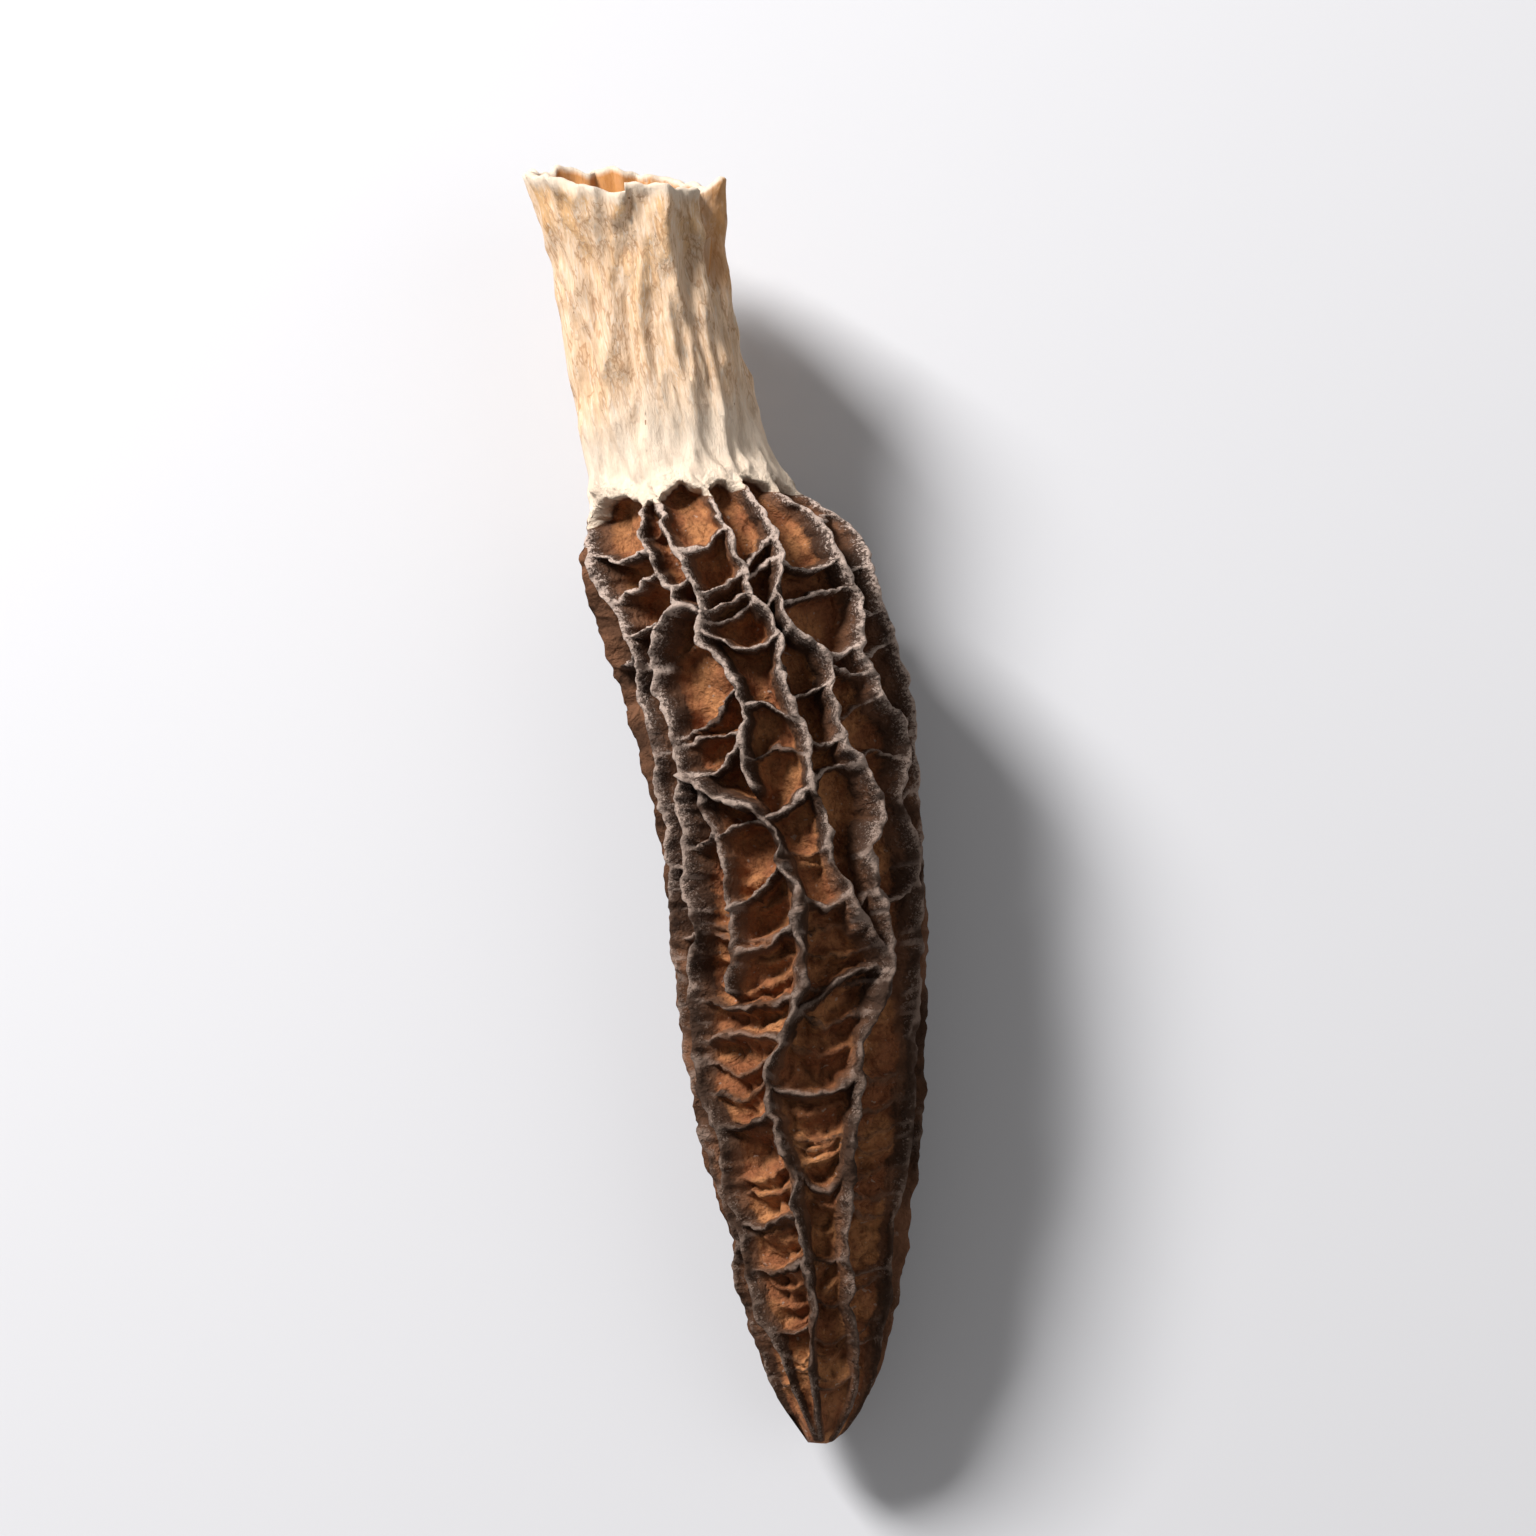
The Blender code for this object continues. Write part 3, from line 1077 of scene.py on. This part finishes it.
    def make_object(self, rows: np.ndarray, marks: Marks) -> bpy.types.Object:
        """Wrap a grid round the rows, close it, thin it out and set it on the ground.

        Args:
            rows: Points by ring and spoke, from the tip over the mouth and down the hollow.
            marks: Marks of each point.

        Returns:
            The object.
        """
        count, around = rows.shape[:2]
        bm = bmesh.new()
        bmesh.ops.create_grid(bm, x_segments=around, y_segments=count - 1, size=0.5)
        mesh = bpy.data.meshes.new("morel")
        bm.to_mesh(mesh)
        bm.free()
        flat = np.empty(len(mesh.vertices) * 3, np.float32)
        mesh.vertices.foreach_get("co", flat)
        flat = flat.reshape(-1, 3)
        column = np.rint((flat[:, 0] + 0.5) * around).astype(int) % around
        row = np.rint((flat[:, 1] + 0.5) * (count - 1)).astype(int)
        points = self.growth.bend(rows.reshape(-1, 3)).reshape(rows.shape)
        points = self.set_down(points)
        mesh.vertices.foreach_set("co", points[row, column].astype(np.float32).ravel())
        for name, values in marks.items():
            layer = mesh.attributes.new(name, "FLOAT", "POINT")
            layer.data.foreach_set("value", values[row, column].astype(np.float32))
        bm = bmesh.new()
        bm.from_mesh(mesh)
        bmesh.ops.remove_doubles(bm, verts=bm.verts, dist=self.merge)
        bmesh.ops.recalc_face_normals(bm, faces=bm.faces)
        bm.to_mesh(mesh)
        bm.free()
        morel = bpy.data.objects.new("morel", mesh)
        bpy.context.scene.collection.objects.link(morel)
        return self.thin_out(morel)

    def set_down(self, points: np.ndarray) -> np.ndarray:
        """Move the body over the ground as the solid stands, with its lowest crests pressed flat.

        Args:
            points: Points by ring and spoke.

        Returns:
            The moved points.
        """
        low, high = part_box("dried_morel")
        middle = (points.reshape(-1, 3).min(0) + points.reshape(-1, 3).max(0)) / 2
        shift = np.array(((low.x + high.x) / 2, (low.y + high.y) / 2, 0.0)) - middle
        shift[2] = low.z - self.floor_sink - points[..., 2].min()
        points = points + shift
        points[..., 2] = np.maximum(points[..., 2], low.z)
        return points

    def shares(self, mesh: bpy.types.Mesh) -> dict[float, list[int]]:
        """Sort the points by how freely they may be thinned: the lining and the underside most.

        Args:
            mesh: The dense skin.

        Returns:
            Point numbers by freedom, from 0 to 1.
        """
        count = len(mesh.vertices)
        flat = np.empty(count * 3, np.float32)
        mesh.vertices.foreach_get("co", flat)
        inside = np.empty(count, np.float32)
        mesh.attributes["inside"].data.foreach_get("value", inside)
        deep = flat[1::3] < flat[1::3].max() - self.lit_lining
        hidden = (flat[2::3] < self.underside) | ((inside > self.lining_mark) & deep)
        return {1.0: np.flatnonzero(hidden).tolist(), self.seen_share: np.flatnonzero(~hidden).tolist()}

    def thin_out(self, morel: bpy.types.Object) -> bpy.types.Object:
        """Reduce the skin to its triangle budget, which keeps the crests and thins the plain places.

        Args:
            morel: The dense object.

        Returns:
            The same object with the thinned mesh.
        """
        morel.data.calc_loop_triangles()
        dense = len(morel.data.loop_triangles)
        plain = morel.vertex_groups.new(name="plain")
        for share, verts in self.shares(morel.data).items():
            plain.add(verts, share, "REPLACE")
        thin = morel.modifiers.new("thin", "DECIMATE")
        thin.vertex_group = plain.name
        thin.vertex_group_factor = self.keep_factor
        thin.ratio = min(self.triangles / dense, 1.0)
        thin.use_collapse_triangulate = True
        graph = bpy.context.evaluated_depsgraph_get()
        mesh = bpy.data.meshes.new_from_object(morel.evaluated_get(graph))
        morel.modifiers.clear()
        morel.vertex_groups.clear()
        old = morel.data
        morel.data = mesh
        bpy.data.meshes.remove(old)
        mesh.name = "morel"
        mesh.shade_smooth()
        LOG.info("thinned from %d to %d triangles", dense, len(mesh.polygons))
        return morel


@dataclass(frozen=True)
class Grain:
    """A cloudy pattern: lumps in one metre, factor on them along each axis, and the noise's settings."""

    scale: float
    stretch: Triple = (1.0, 1.0, 1.0)
    detail: float = 2.0
    roughness: float = 0.5
    distortion: float = 0.0


class Tint(Enum):
    """The flesh's colours."""

    RUST = (0.275, 0.100, 0.043, 1.0)
    AMBER = (0.470, 0.205, 0.083, 1.0)
    # Umber darkens grains in the pit floors, and is also the painted shade in the floors' creases and on
    # the cap's sides.
    UMBER = (0.070, 0.028, 0.014, 1.0)
    BARK = (0.175, 0.080, 0.043, 1.0)
    SOOT = (0.022, 0.012, 0.008, 1.0)
    SLATE = (0.050, 0.029, 0.021, 1.0)
    TAN = (0.048, 0.028, 0.019, 1.0)
    BONE = (0.560, 0.430, 0.360, 1.0)
    ASH = (0.420, 0.300, 0.235, 1.0)
    CREAM = (0.700, 0.500, 0.340, 1.0)
    HONEY = (0.620, 0.360, 0.160, 1.0)
    DUSK = (0.510, 0.335, 0.205, 1.0)
    CHALK = (0.700, 0.600, 0.490, 1.0)
    VEIN = (0.360, 0.180, 0.080, 1.0)
    SPECK = (0.180, 0.070, 0.025, 1.0)
    GOLD = (0.540, 0.225, 0.060, 1.0)


Value = Socket | Tint | float


@dataclass(frozen=True)
class Veil:
    """A colour laid over another: where a value starts it and fills it, and how strong it gets."""

    tint: Tint
    start: float
    full: float
    strength: float


class NodeSheet:
    """A small helper that lays out and links the nodes of one material."""

    def __init__(self, name: str) -> None:
        """Start an empty material.

        Args:
            name: Name of the material.
        """
        self.material = bpy.data.materials.new(name)
        self.material.use_nodes = True
        self.tree = self.material.node_tree
        self.tree.nodes.clear()

    def add(self, kind: str, **settings: object) -> bpy.types.Node:
        """Add a node.

        Args:
            kind: Blender's name for it.
            settings: Values for the node's own properties.

        Returns:
            The node.
        """
        node = self.tree.nodes.new(kind)
        for key, value in settings.items():
            setattr(node, key, value)
        return node

    def put(self, value: Value, socket: Socket) -> None:
        """Link a socket to another, or set it to a plain value.

        Args:
            value: The other socket or the value.
            socket: The socket.
        """
        if isinstance(value, bpy.types.NodeSocket):
            self.tree.links.new(value, socket)
        elif isinstance(value, Tint):
            socket.default_value = value.value
        else:
            socket.default_value = value

    def mark(self, name: str) -> Socket:
        """Read a mark of the piece's own skin."""
        return self.add("ShaderNodeAttribute", attribute_name=name).outputs["Fac"]

    def math(self, kind: str, a: Value, b: Value, clamp: bool = False) -> Socket:
        """Combine two numbers.

        Args:
            kind: Blender's name for the sum.
            a: First number.
            b: Second number.
            clamp: Whether the result is cut to 0 to 1.

        Returns:
            The result.
        """
        node = self.add("ShaderNodeMath", operation=kind, use_clamp=clamp)
        self.put(a, node.inputs[0])
        self.put(b, node.inputs[1])
        return node.outputs[0]

    def times(self, a: Value, b: Value) -> Socket:
        """Multiply two numbers."""
        return self.math("MULTIPLY", a, b)

    def sway(self, value: Value, strength: float) -> Socket:
        """Turn a value round 0.5 into one round 0, at a given strength."""
        return self.times(self.math("SUBTRACT", value, 0.5), strength)

    def span(self, value: Value, low: float, high: float) -> Socket:
        """Spread a value from low to high over 0 to 1, eased and cut.

        Args:
            value: The value.
            low: Where the result is 0.
            high: Where the result is 1.

        Returns:
            The result.
        """
        node = self.add("ShaderNodeMapRange", interpolation_type="SMOOTHSTEP", clamp=True)
        self.put(value, node.inputs["Value"])
        node.inputs["From Min"].default_value = low
        node.inputs["From Max"].default_value = high
        return node.outputs["Result"]

    def mix(self, share: Value, a: Value, b: Value) -> Socket:
        """Mix two colours.

        Args:
            share: Share of the second colour.
            a: First colour.
            b: Second colour.

        Returns:
            The mixed colour.
        """
        node = self.add("ShaderNodeMix", data_type="RGBA")
        self.put(share, node.inputs["Factor"])
        self.put(a, node.inputs["A"])
        self.put(b, node.inputs["B"])
        return node.outputs["Result"]

    def cover(self, under: Value, tint: Tint, share: Value, strength: float) -> Socket:
        """Cover a colour with a tint by a share of a strength."""
        return self.mix(self.times(share, strength), under, tint)

    def veil(self, under: Value, value: Value, veil: Veil) -> Socket:
        """Lay a veil over a colour where a value asks for it."""
        return self.cover(under, veil.tint, self.span(value, veil.start, veil.full), veil.strength)

    def noise(self, grain: Grain) -> Socket:
        """Cloudy noise on the piece's own coordinates.

        Args:
            grain: The pattern.

        Returns:
            The noise's value.
        """
        mapping = self.add("ShaderNodeMapping")
        mapping.inputs["Scale"].default_value = grain.stretch
        self.put(self.add("ShaderNodeTexCoord").outputs["Object"], mapping.inputs["Vector"])
        node = self.add("ShaderNodeTexNoise")
        self.put(mapping.outputs["Vector"], node.inputs["Vector"])
        for name in ("scale", "detail", "roughness", "distortion"):
            node.inputs[name.capitalize()].default_value = getattr(grain, name)
        return node.outputs["Fac"]

    def surface(self, specular: float) -> bpy.types.Node:
        """Add the shader and join it to the output.

        Args:
            specular: Specular level.

        Returns:
            The shader.
        """
        shader = self.add("ShaderNodeBsdfPrincipled")
        shader.inputs["Specular IOR Level"].default_value = specular
        out = self.add("ShaderNodeOutputMaterial")
        self.put(shader.outputs["BSDF"], out.inputs["Surface"])
        return shader


@dataclass(frozen=True)
class CapFinish:
    """The cap's colours: rust pits, dark walls, crests frosted most near the collar, painted shade in the
    floors' creases and on the cap's sides, and painted light in the middle of the pits.

    Spans say where a value starts an effect and where it fills it. The gaps are distances from the
    nearest crest, in millimetres, and the span along the body is in metres.
    """

    clouds: Grain = Grain(420.0, detail=4.0, roughness=0.6)
    grains: Grain = Grain(3400.0, detail=4.0, roughness=0.7)
    dust: Grain = Grain(3600.0, detail=0.0)
    stains: Grain = Grain(240.0, detail=3.0)
    specks: Grain = Grain(5200.0, detail=3.0, roughness=0.7)
    patches: Grain = Grain(650.0, detail=4.0)
    # Painted light: the pit floors turn lighter amber away from the crests, in the middle of each pit.
    painted_pit_light: Veil = Veil(Tint.AMBER, 0.6, 1.5, 0.35)
    grime: Veil = Veil(Tint.UMBER, 0.54, 0.36, 0.4)
    powder: Veil = Veil(Tint.ASH, 0.76, 0.80, 0.6)
    stain: Veil = Veil(Tint.SOOT, 0.36, 0.62, 0.80)
    # Strength of the painted shade in the floors' creases and on the cap's sides.
    painted_shade: float = 0.70
    cloud_span: tuple[float, float] = (0.40, 0.66)
    grain_sway: float = 0.5
    wall_span: tuple[float, float] = (0.28, 0.50)
    blade_span: tuple[float, float] = (0.58, 0.88)
    blade: float = 0.85
    frost_brow: tuple[float, float] = (0.45, 0.75)
    frost_patch: tuple[float, float] = (0.44, 0.64)
    line_gap: tuple[float, float] = (0.20, 0.09)
    line_sway: float = 0.55
    speck_span: tuple[float, float] = (0.54, 0.62)
    speck_gap: tuple[float, float] = (0.45, 0.20)
    patch_rise: float = 0.22
    line_base: float = 0.10
    line_rise: float = 0.90
    speck_base: float = 0.54
    speck_fall: float = 0.44
    higher_span: tuple[float, float] = (-0.022, 0.013)
    higher_base: float = 0.22
    higher_rise: float = 0.72

    def colour(self, sheet: NodeSheet, relief: Socket) -> Socket:
        """Colour of the cap, from the pit floors up to the crests.

        Args:
            sheet: Where the nodes are laid out.
            relief: Mark of the height between floor and crest.

        Returns:
            The colour.
        """
        gap, brow = sheet.mark("gap"), sheet.mark("brow")
        grains = sheet.noise(self.grains)
        floor = sheet.mix(sheet.span(sheet.noise(self.clouds), *self.cloud_span), Tint.RUST, Tint.AMBER)
        # Painted light: lighter amber in the middle of each pit, away from its walls.
        floor = sheet.veil(floor, gap, self.painted_pit_light)
        floor = sheet.veil(floor, grains, self.grime)
        # Painted shade: umber laid over the floors in their creases and on the cap's sides.
        for name in ("painted_crease_shade", "flank"):
            floor = sheet.cover(floor, Tint.UMBER, sheet.mark(name), self.painted_shade)
        floor = sheet.veil(floor, sheet.noise(self.dust), self.powder)
        wander = sheet.sway(grains, self.grain_sway)
        wall = sheet.veil(Tint.BARK, sheet.noise(self.stains), self.stain)
        flank = sheet.mix(sheet.span(sheet.math("ADD", relief, wander), *self.wall_span), floor, wall)
        higher = self.towards_collar(sheet)
        blade = sheet.times(sheet.span(sheet.math("ADD", brow, wander), *self.blade_span), self.blade)
        flank = sheet.mix(blade, flank, sheet.mix(higher, Tint.TAN, Tint.SLATE))
        pale = sheet.mix(higher, Tint.ASH, Tint.BONE)
        return sheet.mix(self.frost(sheet, gap, brow, higher), flank, pale)

    def frost(self, sheet: NodeSheet, gap: Socket, brow: Socket, higher: Socket) -> Socket:
        """Share of frost on the crests: a thin line near the collar, and loose specks towards the tip.

        Args:
            sheet: Where the nodes are laid out.
            gap: Mark of the distance from the nearest crest, in millimetres.
            brow: Mark of the crests, 1 on top and 0 at their foot.
            higher: Strength of the frost along the body.

        Returns:
            The share.
        """
        specks = sheet.noise(self.specks)
        patches = sheet.math("ADD", sheet.noise(self.patches), sheet.times(higher, self.patch_rise))
        on_top = sheet.times(sheet.span(brow, *self.frost_brow), sheet.span(patches, *self.frost_patch))
        away = sheet.math("ADD", gap, sheet.sway(specks, self.line_sway))
        growing = sheet.math("ADD", sheet.times(higher, self.line_rise), self.line_base)
        line = sheet.times(sheet.span(away, *self.line_gap), growing)
        loose = sheet.times(sheet.span(specks, *self.speck_span), sheet.span(gap, *self.speck_gap))
        fading = sheet.math("SUBTRACT", self.speck_base, sheet.times(higher, self.speck_fall))
        loose = sheet.times(loose, fading)
        return sheet.math("MULTIPLY", sheet.math("MAXIMUM", line, loose), on_top, clamp=True)

    def towards_collar(self, sheet: NodeSheet) -> Socket:
        """Strength of the crests' dark and of their frost, which grow from the tip to the collar."""
        rise = sheet.times(sheet.span(lengthwise(sheet), *self.higher_span), self.higher_rise)
        return sheet.math("ADD", rise, self.higher_base)


def lengthwise(sheet: NodeSheet) -> Socket:
    """Read the place along the body.

    Args:
        sheet: Where the nodes are laid out.

    Returns:
        The Y coordinate, in metres.
    """
    place = sheet.add("ShaderNodeSeparateXYZ")
    sheet.put(sheet.add("ShaderNodeTexCoord").outputs["Object"], place.inputs[0])
    return place.outputs["Y"]


@dataclass(frozen=True)
class StemFinish:
    """The stem's colours: cream with golden streaks and brown veins, a pale foot and a golden lining."""

    streaks: Grain = Grain(700.0, (1.0, 0.22, 1.0), detail=6.0, roughness=0.7)
    fibres: Grain = Grain(6000.0, (1.0, 0.13, 1.0), detail=3.0, roughness=0.6, distortion=0.2)
    clouds: Grain = Grain(240.0, (1.0, 0.45, 1.0), detail=4.0)
    veins: Grain = Grain(900.0, (1.0, 0.24, 1.0), detail=4.0, roughness=0.6, distortion=0.3)
    dots: Grain = Grain(1900.0, detail=0.0)
    shade: Veil = Veil(Tint.DUSK, 0.50, 0.70, 0.40)
    dark_fibre: Veil = Veil(Tint.DUSK, 0.50, 0.62, 0.55)
    pale_fibre: Veil = Veil(Tint.CHALK, 0.46, 0.36, 0.55)
    vein: Veil = Veil(Tint.VEIN, 0.028, 0.004, 0.55)
    foot: Veil = Veil(Tint.CHALK, 0.0265, 0.0215, 0.65)
    dot: Veil = Veil(Tint.SPECK, 0.845, 0.87, 0.8)
    streak_span: tuple[float, float] = (0.46, 0.62)
    gold_span: tuple[float, float] = (0.023, 0.036)
    gold_base: float = 0.32
    gold_rise: float = 0.6
    foot_sway: float = 0.006
    lip: float = 0.75
    lining: float = 0.85

    def colour(self, sheet: NodeSheet) -> Socket:
        """Colour of the stem, its pale foot, its lip and its lining.

        Args:
            sheet: Where the nodes are laid out.

        Returns:
            The colour.
        """
        streaks, fibres = sheet.noise(self.streaks), sheet.noise(self.fibres)
        veins = sheet.math("SUBTRACT", sheet.noise(self.veins), 0.5)
        veins = sheet.math("ABSOLUTE", veins, 0.0)
        body = sheet.veil(Tint.CREAM, sheet.noise(self.clouds), self.shade)
        golden = sheet.times(sheet.span(streaks, *self.streak_span), self.towards_mouth(sheet))
        body = sheet.mix(golden, body, Tint.HONEY)
        body = sheet.veil(body, fibres, self.dark_fibre)
        body = sheet.veil(body, fibres, self.pale_fibre)
        body = sheet.veil(body, veins, self.vein)
        along = sheet.math("ADD", lengthwise(sheet), sheet.times(streaks, self.foot_sway))
        body = sheet.veil(body, along, self.foot)
        body = sheet.veil(body, sheet.noise(self.dots), self.dot)
        body = sheet.cover(body, Tint.CHALK, sheet.mark("lip"), self.lip)
        return sheet.cover(body, Tint.GOLD, sheet.mark("inside"), self.lining)

    def towards_mouth(self, sheet: NodeSheet) -> Socket:
        """Strength of the golden streaks, which grow from the collar to the mouth."""
        rise = sheet.times(sheet.span(lengthwise(sheet), *self.gold_span), self.gold_rise)
        return sheet.math("ADD", rise, self.gold_base)


@dataclass(frozen=True)
class FleshFinish:
    """Dried flesh: the cap's colours, the stem's colours, their ragged edge, and the fine relief."""

    cap: CapFinish = CapFinish()
    stem: StemFinish = StemFinish()
    edge: Grain = Grain(1100.0, detail=4.0)
    edge_sway: float = 0.9
    edge_span: tuple[float, float] = (0.40, 0.75)
    gloss: Grain = Grain(1200.0, detail=3.0)
    gloss_sway: float = 0.16
    satin: float = 0.46
    dryness: float = 0.26
    dry_span: tuple[float, float] = (0.1, 0.7)
    specular: float = 0.05
    wrinkles: Grain = Grain(850.0, detail=2.0, distortion=1.2)
    wrinkle_height: float = 1.3
    pores: Grain = Grain(2600.0, detail=5.0, roughness=0.7)
    fibres: Grain = Grain(2600.0, (1.0, 0.20, 1.0), detail=6.0, roughness=0.8)
    fibre_height: float = 0.5
    bump_depth: float = 0.36 * MM

    def make(self) -> bpy.types.Material:
        """Build the material.

        Returns:
            The material.
        """
        sheet = NodeSheet("dried_flesh")
        relief, stem = sheet.mark("relief"), sheet.mark("stem")
        ragged = sheet.sway(sheet.noise(self.edge), self.edge_sway)
        blend = sheet.span(sheet.math("ADD", sheet.mark("above"), ragged), *self.edge_span)
        colour = sheet.mix(blend, self.cap.colour(sheet, relief), self.stem.colour(sheet))
        shader = sheet.surface(self.specular)
        sheet.put(colour, shader.inputs["Base Color"])
        sheet.put(self.roughness(sheet, relief, stem), shader.inputs["Roughness"])
        sheet.put(self.bump(sheet, stem), shader.inputs["Normal"])
        return sheet.material

    def roughness(self, sheet: NodeSheet, relief: Socket, stem: Socket) -> Socket:
        """Satin in the pits, dry and dull on the crests and the stem.

        Args:
            sheet: Where the nodes are laid out.
            relief: Mark of the height between floor and crest.
            stem: Mark of the stem.

        Returns:
            The roughness.
        """
        dull = sheet.math("MAXIMUM", sheet.span(relief, *self.dry_span), stem)
        patch = sheet.times(sheet.noise(self.gloss), self.gloss_sway)
        return sheet.math("ADD", sheet.times(dull, self.dryness), sheet.math("ADD", patch, self.satin))

    def bump(self, sheet: NodeSheet, stem: Socket) -> Socket:
        """Fine wrinkles in the pits, and fibres along the stem.

        Args:
            sheet: Where the nodes are laid out.
            stem: Mark of the stem.

        Returns:
            The bumped normal.
        """
        wrinkles = sheet.times(sheet.noise(self.wrinkles), self.wrinkle_height)
        mixed = sheet.add("ShaderNodeMix", data_type="FLOAT")
        sheet.put(stem, mixed.inputs["Factor"])
        sheet.put(sheet.math("ADD", sheet.noise(self.pores), wrinkles), mixed.inputs["A"])
        sheet.put(sheet.times(sheet.noise(self.fibres), self.fibre_height), mixed.inputs["B"])
        bump = sheet.add("ShaderNodeBump")
        bump.inputs["Strength"].default_value = 1.0
        bump.inputs["Distance"].default_value = self.bump_depth
        sheet.put(mixed.outputs["Result"], bump.inputs["Height"])
        return bump.outputs["Normal"]


@dataclass(frozen=True)
class LampPlan:
    """Where a soft lamp hangs, as its turn from +X and its rise in degrees, its metres and watts."""

    turn: float
    rise: float
    distance: float
    size: float
    power: float


class Lamp(Enum):
    """The soft lamps."""

    KEY = LampPlan(127.0, 36.0, 0.55, 0.17, 6.3)
    FILL = LampPlan(-15.0, 45.0, 0.70, 0.60, 0.85)


def direction(turn: float, rise: float) -> Vector:
    """Point a way.

    Args:
        turn: Turn from +X, in degrees.
        rise: Rise above level, in degrees.

    Returns:
        The way, as a unit vector.
    """
    turn, rise = math.radians(turn), math.radians(rise)
    return Vector((math.cos(turn) * math.cos(rise), math.sin(turn) * math.cos(rise), math.sin(rise)))


@dataclass
class Studio:
    """The pale floor, the soft lamps and the camera, which looks from the tip's side: degrees, metres."""

    floor_size: float = 3.0
    floor_colour: tuple[float, ...] = (0.562, 0.557, 0.572, 1.0)
    floor_roughness: float = 0.6
    floor_specular: float = 0.2
    look_rise: float = 78.0
    look_turn: float = 9.0
    lens: float = 100.0
    fill_height: float = 0.86
    sky: float = 0.22

    def build(self, low: Vector, high: Vector) -> None:
        """Set everything up round the object.

        Args:
            low: Lowest corner of the object.
            high: Highest corner of the object.
        """
        self.lay_floor(low.z)
        centre = (low + high) / 2
        for lamp in Lamp:
            self.hang_lamp(lamp, centre)
        self.light_world()
        self.set_camera(high.y - low.y, centre)

    def lay_floor(self, level: float) -> None:
        """Lay a plain pale floor.

        Args:
            level: Its height.
        """
        bm = bmesh.new()
        bmesh.ops.create_grid(bm, x_segments=1, y_segments=1, size=self.floor_size / 2)
        bmesh.ops.translate(bm, verts=bm.verts, vec=(0.0, 0.0, level))
        mesh = bpy.data.meshes.new("floor")
        bm.to_mesh(mesh)
        bm.free()
        floor = bpy.data.objects.new("floor", mesh)
        bpy.context.scene.collection.objects.link(floor)
        sheet = NodeSheet("floor_paper")
        shader = sheet.surface(self.floor_specular)
        shader.inputs["Base Color"].default_value = self.floor_colour
        shader.inputs["Roughness"].default_value = self.floor_roughness
        mesh.materials.append(sheet.material)
        floor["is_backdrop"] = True

    def hang_lamp(self, lamp: Lamp, centre: Vector) -> None:
        """Hang one soft square lamp that faces the object.

        Args:
            lamp: Which lamp.
            centre: Where it points.
        """
        plan = lamp.value
        way = direction(plan.turn, plan.rise)
        data = bpy.data.lights.new(lamp.name.lower(), "AREA")
        data.shape = "SQUARE"
        data.size = plan.size
        data.energy = plan.power
        light = bpy.data.objects.new(lamp.name.lower(), data)
        light.location = centre + way * plan.distance
        light.rotation_euler = way.to_track_quat("Z", "Y").to_euler()
        bpy.context.scene.collection.objects.link(light)

    def light_world(self) -> None:
        """Fill the surroundings with even white light, and show colours as they are."""
        world = bpy.data.worlds.new("studio")
        world.use_nodes = True
        background = world.node_tree.nodes["Background"]
        background.inputs["Color"].default_value = (1.0, 1.0, 1.0, 1.0)
        background.inputs["Strength"].default_value = self.sky
        bpy.context.scene.world = world
        bpy.context.scene.view_settings.view_transform = "Standard"

    def set_camera(self, length: float, centre: Vector) -> None:
        """Place the camera above the object, so that it fills the height of the view.

        Args:
            length: Length of the object along Y.
            centre: Where the camera points.
        """
        way = direction(-90.0 - self.look_turn, self.look_rise)
        data = bpy.data.cameras.new("camera")
        data.lens = self.lens
        half_view = math.atan(data.sensor_width / 2 / self.lens)
        distance = length / self.fill_height / 2 / math.tan(half_view)
        camera = bpy.data.objects.new("camera", data)
        camera.location = centre + way * distance
        camera.rotation_euler = way.to_track_quat("Z", "Y").to_euler()
        bpy.context.scene.collection.objects.link(camera)
        bpy.context.scene.camera = camera


def main() -> tuple[list, list]:
    """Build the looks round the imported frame.

    Returns:
        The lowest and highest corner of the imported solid.
    """
    logging.basicConfig(level=logging.INFO, format="%(name)s: %(message)s")
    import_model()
    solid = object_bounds()
    morel = Morel(Growth(), RibNet()).build()
    morel.data.materials.clear()
    morel.data.materials.append(FleshFinish().make())
    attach(morel, "root")
    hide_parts("dried_morel")
    LOG.info("morel in place")
    low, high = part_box("dried_morel")
    Studio().build(low, high)
    return solid


if __name__ == "__main__":
    box_of_solid = main()
